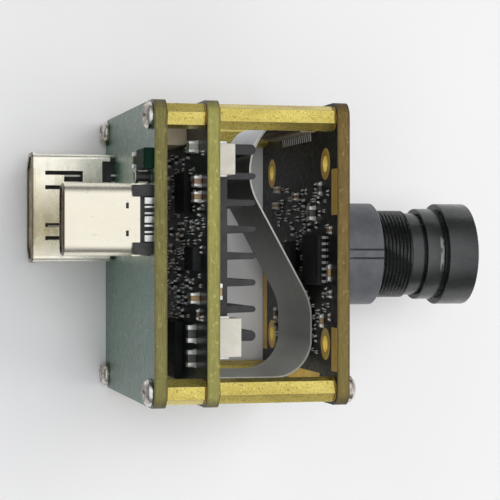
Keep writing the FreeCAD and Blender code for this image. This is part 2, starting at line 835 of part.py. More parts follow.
def socket_housing(face, y, height):
    """An upright flex socket, with the slot that the flex stands in."""
    x, way = faces[face]
    body = on_face(face, y, flex_centre_z, socket_width, socket_length, height)
    width, length = slot_size()
    return body.cut(bar(x + way * socket_floor, x + way * height, y, flex_centre_z, width, length))


def socket_latch(face, y, height):
    """The slider over the socket's mouth, held off it by its two end legs."""
    x, way = faces[face]
    seat = x + way * height
    low = seat + way * latch_gap
    high = low + way * latch_height
    latch_width = socket_width - 2 * socket_wall
    width, length = slot_size()
    body = bar(low, high, y, flex_centre_z, latch_width, socket_length)
    body = body.cut(bar(low, high, y, flex_centre_z, width, length))
    for side in (-1, 1):
        outer = flex_centre_z + side * socket_length / 2
        inner = flex_centre_z + side * (length / 2 + latch_leg_gap)
        body = body.fuse(block(seat, low, y - latch_width / 2, y + latch_width / 2, outer, inner))
    return body.removeSplitter()


def socket_contacts(face, y, side):
    """The row of solder tails along one long side of a flex socket."""
    x, way = faces[face]
    first = flex_centre_z - contact_pitch * (contact_count - 1) / 2
    tail_y = y + side * (socket_width + contact_length) / 2
    pieces = []
    for k in range(contact_count):
        z = first + k * contact_pitch
        pieces.append(bar(x, x + way * contact_thick, tail_y, z, contact_length, contact_width))
    return Part.makeCompound(pieces)


def header_place(width, depth, y):
    y = set_out(y)
    z_low = axis_z + sink_side / 2 + header_gap
    return y - width / 2, y + width / 2, z_low, z_low + depth


def header_housing(width, depth, height, y):
    y_low, y_high, z_low, z_high = header_place(width, depth, y)
    x_high = x_processor_front + height
    body = block(x_processor_front, x_high, y_low, y_high, z_low, z_high)
    well = block(x_processor_front + header_floor, x_high, y_low + header_wall, y_high - header_wall,
                 z_low + header_wall, z_high - header_wall)
    key_y = (y_low + y_high) / 2
    key_width = width - 2 * header_key_side
    key_z = z_low + header_wall / 2
    key = bar(x_high - header_key_depth, x_high, key_y, key_z, key_width, header_wall)
    return body.cut(well).cut(key)


def header_pins(width, depth, height, y, count):
    """Pins in the well, and the two solder tabs beside the housing."""
    y_low, y_high, z_low, z_high = header_place(width, depth, y)
    pieces = []
    first = (y_low + y_high) / 2 - header_pin_pitch * (count - 1) / 2
    mid_z = (z_low + z_high) / 2
    pin_foot = x_processor_front + header_floor
    pin_tip = x_processor_front + height - header_pin_drop
    for k in range(count):
        pieces.append(bar(pin_foot, pin_tip, first + k * header_pin_pitch, mid_z, header_pin, header_pin))
    tab_z = z_high - header_tab_inset - header_tab_width / 2
    tab_x = x_processor_front + header_tab_reach
    for side, edge in ((-1, y_low), (1, y_high)):
        tab_y = edge + side * header_tab_thick / 2
        pieces.append(bar(x_processor_front, tab_x, tab_y, tab_z, header_tab_thick, header_tab_width))
    return Part.makeCompound(pieces)


def leads(name):
    """Gull leads along the two upright sides of a chip."""
    face, y, z, size_y, size_z, height = chips[name]
    x, way = faces[face]
    first = set_out(y) - lead_pitch * (lead_count - 1) / 2
    pieces = []
    for side in (-1, 1):
        lead_z = axis_z + set_out(z) + side * (size_z + lead_reach) / 2
        for k in range(lead_count):
            lead_y = first + k * lead_pitch
            pieces.append(bar(x, x + way * lead_thick, lead_y, lead_z, lead_width, lead_reach))
    return Part.makeCompound(pieces)


def chip(name):
    body = placed(*chips[name])
    x, way = faces[chips[name][0]]
    height = chips[name][5]
    outer = x + way * height
    rim = [e for e in body.Edges if abs(e.CenterOfMass.x - outer) < 1e-6]
    return body.makeChamfer(chip_bevel, rim)


def image_sensor():
    body = on_face("sensor_front", 0, axis_z, sensor_side, sensor_side, sensor_height)
    x_top = x_sensor_front + sensor_height
    width = sensor_side - 2 * sensor_rim
    return body.cut(bar(x_top - sensor_well, x_top, 0, axis_z, width, width))


def sensor_cover():
    x_low = x_sensor_front + sensor_height
    return bar(x_low, x_low + cover_thick, 0, axis_z, sensor_side, sensor_side)


def ir_filter():
    x_high = x_sensor_front + filter_seat
    return rod(x_high - filter_thick, x_high, holder_cavity_radius - filter_clearance)


def lens_holder():
    """A round tube on the board, with two bosses, two ribs and a bore for the lens thread."""
    base = x_sensor_front
    tip = base + holder_length
    thread_bore = lens_thread_radius + lens_thread_clearance
    body = turned([
        (base, 0),
        (base, holder_radius),
        (tip - holder_chamfer, holder_radius),
        (tip, holder_radius - holder_chamfer),
        (tip, 0),
    ])
    half = boss_width / 2
    top = base + boss_height
    rib_end = tip - holder_chamfer
    for side in (-1, 1):
        z_far = axis_z + side * boss_reach
        z_near = axis_z + side * (holder_radius - holder_root)
        boss = block(base, top, -half, half, z_far, z_near)
        rims = [e for e in boss.Edges if abs(e.CenterOfMass.x - top) < 1e-6]
        boss = boss.makeChamfer(boss_chamfer, [e for e in rims if abs(e.CenterOfMass.y) > half / 2])
        z_rib = axis_z + side * (holder_radius + rib_proud)
        rib = block(base, rib_end, -rib_width / 2, rib_width / 2, z_rib, z_near)
        body = body.fuse(boss).fuse(rib)
        z_floor = axis_z + side * (holder_radius - rib_groove_depth)
        for way in (-1, 1):
            rib_side = way * rib_width / 2
            body = body.cut(block(top, tip, rib_side, rib_side + way * rib_groove, z_rib, z_floor))
    ledge = base + filter_seat
    body = body.cut(rod(base, ledge, holder_cavity_radius))
    body = body.cut(rod(ledge, ledge + ledge_thick, ledge_radius))
    body = body.cut(rod(ledge + ledge_thick, tip, thread_bore))
    return body.removeSplitter()


def lens_barrel():
    """One turned piece: threaded tail, neck, ring and head, stepped inside for the glass."""
    base = x_sensor_front
    outline = [
        (barrel_start, 0),
        (barrel_start, lens_thread_radius - barrel_lead_in),
        (barrel_start + barrel_lead_in, lens_thread_radius),
        (thread_end, lens_thread_radius),
        (neck_start, neck_radius),
        (relief_start, neck_radius),
        (relief_start, relief_radius),
        (ring_start, relief_radius),
        (ring_start, ring_radius),
        (ring_end - ring_edge, ring_radius),
        (ring_end, ring_radius - ring_edge / 2),
        (ring_end, undercut_radius),
        (head_start, undercut_radius),
        (head_start, lens_head_radius),
        (head_end - head_edge, lens_head_radius),
        (head_end, lens_head_radius - head_edge),
        (head_end, 0),
    ]
    body = turned([(base + x, radius) for x, radius in outline])
    body = body.cut(rod(base + barrel_start, base + seat_start, barrel_bore))
    body = body.cut(rod(base + seat_start, base + seat_end, seat_bore))
    body = body.cut(rod(base + seat_end, base + front_bore_start, barrel_bore))
    body = body.cut(rod(base + front_bore_start, base + head_end, front_bore))
    cone_x = base + head_end - front_cone_depth
    cone = Part.makeCone(front_bore, front_cone_radius, front_cone_depth, spot(cone_x, 0, axis_z), along_x)
    return body.cut(cone)


def glass(x_low, edge, radius, rear_sag, front_sag):
    """A round element: a plain rim of the given edge length, with a curved face at each end."""
    body = rod(x_low, x_low + edge, radius)
    for x, sag, way in ((x_low, rear_sag, -1), (x_low + edge, front_sag, 1)):
        if sag <= 0:
            continue
        ball = (radius ** 2 + sag ** 2) / (2 * sag)
        centre = spot(x + way * (sag - ball), 0, axis_z)
        cap = Part.makeSphere(ball, centre)
        low, high = sorted((x, x + way * sag))
        keep = rod(low, high, radius)
        body = body.fuse(cap.common(keep))
    return body.removeSplitter()


def bearing_rise(radius, sag, ring_bore):
    """How far above the rim of a curved face the edge of a ring's bore touches it."""
    ball = (radius ** 2 + sag ** 2) / (2 * sag)
    return math.sqrt(ball ** 2 - ring_bore ** 2) - (ball - sag)


def rear_glass():
    low = x_sensor_front + barrel_start + rear_glass_inset + rear_glass_sag
    return glass(low, rear_glass_thick, barrel_bore - glass_clearance, rear_glass_sag, 0)


def rear_ring():
    """The ring between the rear glass and the barrel's seat."""
    low = x_sensor_front + barrel_start + rear_glass_inset + rear_glass_sag + rear_glass_thick
    high = x_sensor_front + seat_start
    return rod(low, high, barrel_bore - glass_clearance).cut(rod(low, high, spacer_ring_bore))


def middle_glass():
    low = x_sensor_front + seat_end
    return glass(low, middle_glass_thick, barrel_bore - glass_clearance, 0, middle_glass_sag)


def middle_ring():
    """The ring between the middle and front glasses."""
    rise = bearing_rise(barrel_bore - glass_clearance, middle_glass_sag, spacer_ring_bore)
    low = x_sensor_front + seat_end + middle_glass_thick + rise
    high = x_sensor_front + front_bore_start
    return rod(low, high, barrel_bore - glass_clearance).cut(rod(low, high, spacer_ring_bore))


def front_glass():
    low = x_sensor_front + front_bore_start
    return glass(low, front_glass_edge, front_bore - glass_clearance, 0, front_glass_sag)


def front_ring():
    """The ring that holds the front glass: the edge of its bore bears on the curve."""
    rise = bearing_rise(front_bore - glass_clearance, front_glass_sag, front_ring_bore)
    low = x_sensor_front + front_bore_start + front_glass_edge + rise
    body = rod(low, low + front_ring_thick, front_bore - glass_clearance)
    flare = Part.makeCone(front_ring_bore, front_ring_bore + front_ring_flare, front_ring_thick,
                          spot(low, 0, axis_z), along_x)
    return body.cut(flare)


upper_header = (upper_header_width, upper_header_depth, upper_header_height, upper_header_y)
lower_header = (lower_header_width, lower_header_depth, lower_header_height, lower_header_y)
parts = {
    "interface_board": board(x_interface_rear),
    "processor_board": board(x_processor_rear),
    "sensor_board": sensor_board(),
    "rear_screws": screws(x_interface_rear, -1, hole_places),
    "front_screws": screws(x_sensor_front, 1, [corner for corner in hole_places if corner != open_corner]),
    "usb_shell": usb_shell(),
    "usb_base": usb_base(),
    "usb_contacts": usb_contacts(),
    "hdmi_shell": hdmi_shell(),
    "hdmi_insulator": hdmi_insulator(),
    "hdmi_contacts": hdmi_contacts(),
    "link_plug": link_plug(),
    "link_socket": link_socket(),
    "processor_chip": processor_chip(),
    "thermal_pad": thermal_pad(),
    "heatsink": heatsink(),
    "flex_cable": flex_cable(),
    "flex_stiffeners": flex_stiffeners(),
    "flex_lower_socket": socket_housing("processor_front", lower_socket_y, lower_socket_height),
    "flex_upper_socket": socket_housing("sensor_rear", upper_socket_y, upper_socket_height),
    "flex_upper_latch": socket_latch("sensor_rear", upper_socket_y, upper_socket_height),
    "flex_lower_contacts": socket_contacts("processor_front", lower_socket_y, 1),
    "flex_upper_contacts": socket_contacts("sensor_rear", upper_socket_y, -1),
    "upper_header": header_housing(*upper_header),
    "upper_header_pins": header_pins(*upper_header, upper_header_pins),
    "lower_header": header_housing(*lower_header),
    "lower_header_pins": header_pins(*lower_header, lower_header_pins),
    "driver_chip_leads": leads("sensor_driver_chip"),
    "image_sensor": image_sensor(),
    "sensor_cover_glass": sensor_cover(),
    "ir_filter": ir_filter(),
    "lens_holder": lens_holder(),
    "lens_barrel": lens_barrel(),
    "rear_glass": rear_glass(),
    "rear_glass_ring": rear_ring(),
    "middle_glass": middle_glass(),
    "middle_glass_ring": middle_ring(),
    "front_glass": front_glass(),
    "front_glass_ring": front_ring(),
}
for corner in hole_places:
    parts["rear_spacer_" + corner] = rear_spacer(corner)
    parts["front_spacer_" + corner] = front_spacer(corner)
for name in chips:
    parts[name] = chip(name)
for name, (face, places) in small_parts.items():
    parts[name] = Part.makeCompound([placed(face, *place) for place in places])

os.makedirs("parts", exist_ok=True)
for name, shape in parts.items():
    shape.exportStep("parts/" + name + ".step")
    print(name, len(shape.Solids), "solids, volume", round(shape.Volume, 2), "valid", shape.isValid())
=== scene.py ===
import math
import random

import bmesh
import bpy
from mathutils import Matrix, Vector


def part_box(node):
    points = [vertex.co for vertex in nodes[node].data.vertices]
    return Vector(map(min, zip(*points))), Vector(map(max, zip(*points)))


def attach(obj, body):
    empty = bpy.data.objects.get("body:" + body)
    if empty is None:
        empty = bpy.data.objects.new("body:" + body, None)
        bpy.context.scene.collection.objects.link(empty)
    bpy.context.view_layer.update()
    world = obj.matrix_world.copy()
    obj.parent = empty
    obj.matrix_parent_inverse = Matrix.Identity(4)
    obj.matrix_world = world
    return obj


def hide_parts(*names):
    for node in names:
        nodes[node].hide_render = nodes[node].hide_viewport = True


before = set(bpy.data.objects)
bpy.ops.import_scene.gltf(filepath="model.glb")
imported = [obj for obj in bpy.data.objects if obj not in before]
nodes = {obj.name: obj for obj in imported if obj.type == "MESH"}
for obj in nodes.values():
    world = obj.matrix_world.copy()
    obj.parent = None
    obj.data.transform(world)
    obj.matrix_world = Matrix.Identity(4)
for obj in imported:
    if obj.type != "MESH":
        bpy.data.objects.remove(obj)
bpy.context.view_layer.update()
mm = 0.001
scene = bpy.context.scene
scene.view_settings.view_transform = "Standard"

# The lens axis, the screw holes and the boards' faces, as the frame has them
module = "module"
axisZ = sum(corner[2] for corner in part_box("lens_barrel")) / 2
centre = axisZ / mm
holeSide = abs(sum(corner[1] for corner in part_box("rear_spacer_upper_left"))) / 2 / mm
boardBoxes = {name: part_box(name + "_board") for name in ("interface", "processor", "sensor")}
faceX = {}
for boardName, (low, high) in boardBoxes.items():
    faceX[boardName + "Rear"] = (low[0], -1)
    faceX[boardName + "Front"] = (high[0], 1)
corners = [(sideY, sideZ) for sideY in (-1, 1) for sideZ in (-1, 1)]


# Camera: the photo's viewpoint, solved from the board edges (millimetres, radians, and pixels for the focus)
view = {
    "place": (-55.57, 0.15, 241.36),
    "yaw": 0.2405,
    "pitch": 0.0016,
    "roll": 0.0004,
    "focal": 1699.2,
    "frame": 500,
    "sensor": 36.0,
    "clip": (0.01, 20),
}


def makeCamera():
    data = bpy.data.cameras.new("photoCamera")
    data.sensor_width = view["sensor"]
    data.lens = view["focal"] * view["sensor"] / view["frame"]
    data.clip_start, data.clip_end = view["clip"]
    cam = bpy.data.objects.new("photoCamera", data)
    scene.collection.objects.link(cam)
    yaw, pitch, roll = view["yaw"], view["pitch"], view["roll"]
    look = Vector((math.sin(yaw) * math.cos(pitch), math.sin(pitch), -math.cos(yaw) * math.cos(pitch)))
    right = Vector((math.cos(yaw), 0, math.sin(yaw)))
    up = right.cross(look)
    turnedRight = right * math.cos(roll) + up * math.sin(roll)
    turnedUp = up * math.cos(roll) - right * math.sin(roll)
    turn = Matrix((turnedRight, turnedUp, -look)).transposed()
    cam.matrix_world = Matrix.Translation(Vector(view["place"]) * mm) @ turn.to_4x4()
    scene.camera = cam


makeCamera()
print("stage camera")


# Shader helper: one material's node tree, with short calls for the nodes used here
class Sheet:
    def __init__(self, name, color, rough, metal=0.0, **fixed):
        self.mat = bpy.data.materials.new(name)
        self.mat.use_nodes = True
        self.mat.diffuse_color = (*color[:3], 1)
        self.tree = self.mat.node_tree
        self.bsdf = self.tree.nodes["Principled BSDF"]
        self.bsdf.inputs["Base Color"].default_value = (*color[:3], 1)
        self.bsdf.inputs["Roughness"].default_value = rough
        self.bsdf.inputs["Metallic"].default_value = metal
        for key, value in fixed.items():
            self.bsdf.inputs[key.replace("_", " ")].default_value = value
        self.place = self.add("ShaderNodeTexCoord").outputs["Object"]
        self.height = None

    def add(self, kind, **values):
        node = self.tree.nodes.new(kind)
        for key, value in values.items():
            setattr(node, key, value)
        return node

    def link(self, source, target):
        self.tree.links.new(source, target)

    def put(self, node, key, value):
        if hasattr(value, "is_linked"):
            self.link(value, node.inputs[key])
        else:
            node.inputs[key].default_value = value

    def noise(self, scale, detail=3.0, stretch=(1, 1, 1), rough=0.55):
        mapping = self.add("ShaderNodeMapping")
        self.link(self.place, mapping.inputs["Vector"])
        mapping.inputs["Scale"].default_value = stretch
        node = self.add("ShaderNodeTexNoise")
        self.link(mapping.outputs["Vector"], node.inputs["Vector"])
        node.inputs["Scale"].default_value = scale
        node.inputs["Detail"].default_value = detail
        node.inputs["Roughness"].default_value = rough
        return node.outputs["Fac"]

    def span(self, value, low, high, toLow=0.0, toHigh=1.0):
        node = self.add("ShaderNodeMapRange")
        self.link(value, node.inputs["Value"])
        node.inputs["From Min"].default_value = low
        node.inputs["From Max"].default_value = high
        node.inputs["To Min"].default_value = toLow
        node.inputs["To Max"].default_value = toHigh
        return node.outputs["Result"]

    def patches(self, scale, low, high, detail=3.0, stretch=(1, 1, 1), toLow=0.0, toHigh=1.0):
        return self.span(self.noise(scale, detail, stretch), low, high, toLow, toHigh)

    def calc(self, operation, a, b=0.0):
        node = self.add("ShaderNodeMath", operation=operation)
        self.put(node, 0, a)
        self.put(node, 1, b)
        return node.outputs["Value"]

    def times(self, a, b):
        return self.calc("MULTIPLY", a, b)

    def away(self, value, place):
        return self.calc("ABSOLUTE", self.calc("SUBTRACT", value, place))

    def within(self, value, near, far):
        # 1 up to near and 0 beyond far, both in millimetres
        return self.span(value, near * mm, far * mm, 1.0, 0.0)

    def axis(self, name):
        node = self.add("ShaderNodeSeparateXYZ")
        self.link(self.place, node.inputs["Vector"])
        return node.outputs[name]

    def waves(self, name, pitch):
        return self.calc("SINE", self.times(self.axis(name), 2 * math.pi / (pitch * mm)))

    def facing(self, name, low, high):
        # 1 where a surface looks along the named axis, either way
        geometry = self.add("ShaderNodeNewGeometry")
        turned = self.add("ShaderNodeVectorTransform", vector_type="NORMAL", convert_from="WORLD",
                          convert_to="OBJECT")
        self.link(geometry.outputs["True Normal"], turned.inputs["Vector"])
        node = self.add("ShaderNodeSeparateXYZ")
        self.link(turned.outputs["Vector"], node.inputs["Vector"])
        return self.span(self.calc("ABSOLUTE", node.outputs[name]), low, high)

    def blend(self, factor, first, second):
        node = self.add("ShaderNodeMix", data_type="RGBA")
        self.put(node, 0, factor)
        for key, value in ((6, first), (7, second)):
            self.put(node, key, value if hasattr(value, "is_linked") else (*value[:3], 1))
        return node.outputs[2]

    def color(self, value):
        self.link(value, self.bsdf.inputs["Base Color"])

    def rough(self, value):
        self.link(value, self.bsdf.inputs["Roughness"])

    def bump(self, value, strength, depth):
        node = self.add("ShaderNodeBump")
        node.inputs["Strength"].default_value = strength
        node.inputs["Distance"].default_value = depth * mm
        self.link(value, node.inputs["Height"])
        if self.height is not None:
            self.link(self.height, node.inputs["Normal"])
        self.height = node.outputs["Normal"]
        self.link(self.height, self.bsdf.inputs["Normal"])


def shade(color, factor, lift=0.0):
    return [min(1, v * factor + lift) for v in color]


# Circuit boards: mask over tracks and small holes on the two faces, bare laminate on the cut edges
boardLook = {
    "trackPitch": 0.44,
    "trackPatches": 210,
    "viaCells": 330,
    "viaHole": (0.055, 0.07),
    "viaRim": (0.1, 0.12),
    "fadeFrom": 6,
    "fadeTo": -14,
    # paler, more olive tone toward low Y
    "lowYTone": (0.2, 0.19, 0.06),
    # painted shade on the cut sides that face along Y
    "ySideShade": (0.06, 0.042, 0.024),
}
boards = {
    "interface": {
        "mask": (0.024, 0.088, 0.053), "maskLight": (0.035, 0.11, 0.069), "rough": 0.3, "shine": 0.55,
        "edge": (0.165, 0.15, 0.042), "edgeDark": (0.09, 0.076, 0.018),
    },
    "processor": {
        "mask": (0.008, 0.011, 0.011), "maskLight": (0.012, 0.016, 0.016), "rough": 0.35, "shine": 0.45,
        "edge": (0.3, 0.285, 0.085), "edgeDark": (0.2, 0.185, 0.045),
    },
    "sensor": {
        "mask": (0.004, 0.005, 0.004), "maskLight": (0.007, 0.008, 0.007), "rough": 0.42, "shine": 0.25,
        "edge": (0.165, 0.112, 0.04), "edgeDark": (0.09, 0.06, 0.016),
    },
}


def trackPattern(m):
    # Fine tracks in square patches, each patch turned one way or the other or left bare
    patch = m.add("ShaderNodeTexVoronoi", distance="CHEBYCHEV")
    m.link(m.place, patch.inputs["Vector"])
    patch.inputs["Scale"].default_value = boardLook["trackPatches"]
    pick = m.add("ShaderNodeSeparateColor")
    m.link(patch.outputs["Color"], pick.inputs[0])
    turned = m.calc("GREATER_THAN", pick.outputs[0], 0.5)
    alongY = m.times(m.waves("Z", boardLook["trackPitch"]), turned)
    alongZ = m.times(m.waves("Y", boardLook["trackPitch"]), m.calc("SUBTRACT", 1.0, turned))
    lines = m.span(m.calc("ADD", alongY, alongZ), 0.1, 0.45)
    return m.times(lines, m.calc("GREATER_THAN", pick.outputs[1], 0.55))


def viaPattern(m):
    # Distance from the nearest small hole, in the board's plane
    flat = m.add("ShaderNodeCombineXYZ")
    m.link(m.axis("Y"), flat.inputs[0])
    m.link(m.axis("Z"), flat.inputs[1])
    vias = m.add("ShaderNodeTexVoronoi", voronoi_dimensions="2D")
    m.link(flat.outputs[0], vias.inputs["Vector"])
    vias.inputs["Scale"].default_value = boardLook["viaCells"]
    return vias.outputs["Distance"]


def faceTone(m, look, tracks, fromVia):
    # Mask with clouds and showing tracks, a pale rim round each small hole and the dark hole
    tone = m.blend(m.patches(220, 0.35, 0.7, 4), look["mask"], look["maskLight"])
    tone = m.blend(m.times(tracks, 0.3), tone, shade(look["maskLight"], 1.5))
    tone = m.blend(m.span(fromVia, *boardLook["viaRim"], 0.6, 0.0), tone, shade(look["maskLight"], 1.6, 0.02))
    return m.blend(m.span(fromVia, *boardLook["viaHole"], 0.8, 0.0), tone, shade(look["mask"], 0.3))


def cutTone(m, look, low, high, streak):
    # Laminate with streaks, fibres and pale spots, with painted shade at its borders, for the rounded shading
    # of the milled edge, and on the sides that face along Y
    edge, edgeDark = look["edge"], look["edgeDark"]
    thick = high.x - low.x
    tone = m.blend(streak, edge, edgeDark)
    tone = m.blend(m.times(m.patches(330, 0.4, 0.75, 3, (1.5, 0.4, 0.4)), 0.3), tone, shade(edge, 1.3))
    # Paler and more olive toward low Y
    fade = m.span(m.axis("Y"), boardLook["fadeFrom"] * mm, boardLook["fadeTo"] * mm, 0.0, 0.35)
    tone = m.blend(fade, tone, boardLook["lowYTone"])
    tone = m.blend(m.times(m.patches(5200, 0.6, 0.72, 2, (1.0, 0.16, 0.16)), 0.35), tone, shade(edge, 1.6))
    tone = m.blend(m.times(m.patches(2600, 0.6, 0.7, 2, (1.0, 0.6, 0.6)), 0.4), tone, shade(edge, 1.9, 0.05))
    # Painted shade along both borders of the cut edge
    border = m.span(m.away(m.axis("X"), (low.x + high.x) / 2), thick * 0.3, thick * 0.48)
    tone = m.blend(m.times(border, 0.6), tone, shade(edgeDark, 0.45))
    # Painted shade on the cut sides that face along Y
    return m.blend(m.times(m.facing("Y", 0.35, 0.9), 0.7), tone, boardLook["ySideShade"])


def boardMaterial(name):
    look = boards[name]
    rough = look["rough"]
    low, high = boardBoxes[name]
    m = Sheet(name, look["mask"], rough, Specular_IOR_Level=look["shine"])
    isFace = m.facing("X", 0.4, 0.6)
    tracks = trackPattern(m)
    fromVia = viaPattern(m)
    streak = m.span(m.noise(900, 4, (5.0, 0.5, 0.5), 0.7), 0.35, 0.68)
    m.color(m.blend(isFace, cutTone(m, look, low, high, streak), faceTone(m, look, tracks, fromVia)))
    mixed = m.add("ShaderNodeMix", data_type="FLOAT")
    m.link(isFace, mixed.inputs[0])
    m.link(m.span(streak, 0, 1, 0.5, 0.72), mixed.inputs[2])
    m.link(m.patches(1500, 0.3, 0.7, 2, toLow=rough * 0.85, toHigh=rough * 1.25), mixed.inputs[3])
    m.rough(mixed.outputs[0])
    m.bump(tracks, 0.25, 0.02)
    m.bump(m.span(fromVia, 0.05, 0.12), 0.3, 0.03)
    m.bump(m.noise(2600, 3, (3.0, 0.5, 0.5)), 0.25, 0.02)
    return m.mat


# Bare and plated metal
metals = {
    "brass": {"color": (0.74, 0.61, 0.165), "dark": (0.5, 0.39, 0.09), "rough": 0.3,
              "specksAndGlints": 0.75, "relief": 0.4, "metal": 0.85, "grain": (0.3, 1, 1)},
    # bevels of the spacers: paler and glossier, partly edge wear, partly painted edge highlight
    "brassEdge": {"color": (0.74, 0.62, 0.23), "dark": (0.5, 0.4, 0.12), "rough": 0.26,
                  "specksAndGlints": 0.3, "relief": 0.2, "metal": 0.85, "grain": (0.3, 1, 1)},
    "gold": {"color": (0.9, 0.6, 0.12), "dark": (0.7, 0.44, 0.07), "rough": 0.38,
             "specksAndGlints": 0.2, "relief": 0.15, "metal": 0.4},
    # plated hole walls: gold made brighter, painted light for walls in shade
    "plating": {"color": (1.0, 0.88, 0.3), "dark": (1.0, 0.76, 0.18), "rough": 0.3,
                "specksAndGlints": 0.1, "relief": 0.15, "metal": 0.2},
    "tin": {"color": (0.76, 0.76, 0.73), "dark": (0.5, 0.5, 0.48), "rough": 0.38,
            "specksAndGlints": 0.15, "relief": 0.3, "metal": 0.55},
    "solder": {"color": (0.88, 0.88, 0.85), "dark": (0.5, 0.5, 0.47), "rough": 0.32,
               "specksAndGlints": 0.1, "relief": 0.3, "metal": 0.4},
    "pins": {"color": (0.36, 0.36, 0.34), "dark": (0.2, 0.2, 0.19), "rough": 0.4,
             "specksAndGlints": 0.1, "relief": 0.2, "metal": 0.6},
}


def metalMaterial(name, color, dark, rough, specksAndGlints, relief, metal, grain=(1, 1, 1)):
    # Patchy tone, brushed grain, dark specks, and bright specks that are painted glints
    m = Sheet(name, color, rough, metal)
    tone = m.blend(m.patches(420, 0.35, 0.7, 4, grain), color, dark)
    tone = m.blend(m.times(m.patches(5200, 0.56, 0.66), specksAndGlints), tone, shade(dark, 0.35))
    # Bright specks: painted glints
    tone = m.blend(m.times(m.patches(4300, 0.62, 0.7, 2), specksAndGlints), tone, shade(color, 1.5))
    m.color(tone)
    m.rough(m.patches(1900, 0.3, 0.75, 3, grain, rough * 0.8, rough * 1.35))
    m.bump(m.noise(3000, 3, grain), relief, 0.02)
    return m.mat


# Drawn sheet shells of the two sockets
shells = {
    # smudgeAndShade: random smudges, and painted shade across the middle of the shell
    "usbSteel": {"node": "usb_shell", "color": (0.84, 0.79, 0.66), "smudgeAndShade": (0.81, 0.76, 0.62),
                 "rough": 0.24, "grain": (0.3, 1, 1)},
    "hdmiNickel": {"node": "hdmi_shell", "color": (1.0, 0.98, 0.86), "smudgeAndShade": (0.88, 0.78, 0.54),
                   "rough": 0.24, "grain": (1, 0.4, 1)},
}
# painted shade along the mouth's rounded edge
mouthShade = {"from": 0.22, "to": 0.32, "color": (0.085, 0.05, 0.03)}


def shellMaterial(name, node, color, smudgeAndShade, rough, grain):
    # Bright, with random smudges, darker across its middle as painted shade for the reflection on a curved
    # shell, a little wavy, with painted shade along the mouth edge
    m = Sheet(name, color, rough, 1.0)
    low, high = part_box(node)
    width = high.y - low.y
    # Painted shade: the smudge tone strongest across the middle, for the reflection on a curved shell
    toneMask = m.span(m.away(m.axis("Y"), (low.y + high.y) / 2), width * 0.22, width * 0.46, 1.0, 0.25)
    dull = m.patches(190, 0.42, 0.72, 4, grain, 0.25, 1.0)
    tone = m.blend(m.times(dull, toneMask), color, smudgeAndShade)
    tone = m.blend(m.times(m.patches(1500, 0.62, 0.72), 0.25), tone, shade(smudgeAndShade, 0.55))
    fromMouth = m.calc("SUBTRACT", m.axis("X"), low.x)
    # Painted shade along the mouth edge
    atMouth = m.times(m.within(fromMouth, mouthShade["from"], mouthShade["to"]), 0.85)
    m.color(m.blend(atMouth, tone, mouthShade["color"]))
    m.rough(m.patches(900, 0.3, 0.75, 3, grain, rough * 0.8, rough * 1.4))
    m.bump(m.noise(150, 2), 0.35, 0.12)
    m.bump(m.noise(2600, 3, grain), 0.06, 0.01)
    return m.mat


# Moulded plastic, epoxy, ceramic and anodised metal: dark tone, light tone, roughness
plastics = {
    "blackPlastic": ((0.012, 0.012, 0.012), (0.03, 0.03, 0.03), 0.5),
    "cream": ((0.56, 0.46, 0.31), (0.65, 0.56, 0.41), 0.55),
    "latch": ((0.06, 0.022, 0.02), (0.11, 0.045, 0.036), 0.35),
    "pad": ((0.3, 0.32, 0.34), (0.4, 0.42, 0.44), 0.8),
    "stiffener": ((0.72, 0.74, 0.77), (0.78, 0.8, 0.82), 0.45),
    "ceramicDark": ((0.06, 0.05, 0.05), (0.1, 0.085, 0.08), 0.45),
    "capTan": ((0.36, 0.24, 0.12), (0.46, 0.33, 0.19), 0.4),
    "capBrown": ((0.16, 0.09, 0.05), (0.25, 0.16, 0.09), 0.4),
    "capPink": ((0.3, 0.17, 0.12), (0.42, 0.26, 0.19), 0.4),
    "capGrey": ((0.075, 0.078, 0.072), (0.12, 0.124, 0.114), 0.45),
    "capPale": ((0.38, 0.4, 0.34), (0.5, 0.52, 0.46), 0.45),
    "capOlive": ((0.09, 0.1, 0.035), (0.15, 0.16, 0.06), 0.45),
}


def plasticMaterial(name, color, light, rough, grain=4500, relief=0.3, **fixed):
    # A little tone, and a fine grain in bump and roughness
    m = Sheet(name, color, rough, **fixed)
    m.color(m.blend(m.patches(600, 0.38, 0.72, 4), color, light))
    m.rough(m.patches(2200, 0.3, 0.7, toLow=rough * 0.85, toHigh=min(1, rough * 1.2)))
    m.bump(m.noise(grain, 3), relief, 0.015)
    return m.mat


def glassMaterial(name, color, ior, coat):
    m = Sheet(name, color, 0.02, Transmission_Weight=1.0, IOR=ior)
    m.bsdf.inputs["Coat Weight"].default_value = 0.6
    m.bsdf.inputs["Coat Tint"].default_value = (*coat, 1)
    m.rough(m.patches(1200, 0.4, 0.8, toLow=0.01, toHigh=0.05))
    return m.mat


screwLook = {
    # rim: painted highlight, two patchy tones; flat: painted shade, two patchy tones
    "rim": ((0.82, 0.79, 0.74), (0.4, 0.36, 0.31)),
    "flat": ((0.15, 0.12, 0.1), (0.04, 0.03, 0.025)),
}


def screwMaterial():
    # Plated screw in patchy tone, with a painted highlight on the round rim and painted shade on the flat
    # with the recess
    m = Sheet("screwNickel", (0.5, 0.46, 0.42), 0.2, 1.0)
    toneMask = m.patches(1100, 0.35, 0.65)
    rim = m.blend(toneMask, *screwLook["rim"])
    # Colour by facing: painted shade on the flat, painted highlight on the rim
    m.color(m.blend(m.facing("X", 0.72, 0.9), rim, m.blend(toneMask, *screwLook["flat"])))
    m.rough(m.patches(1900, 0.3, 0.75, toLow=0.14, toHigh=0.3))
    m.bump(m.noise(3000, 3), 0.15, 0.02)
    return m.mat


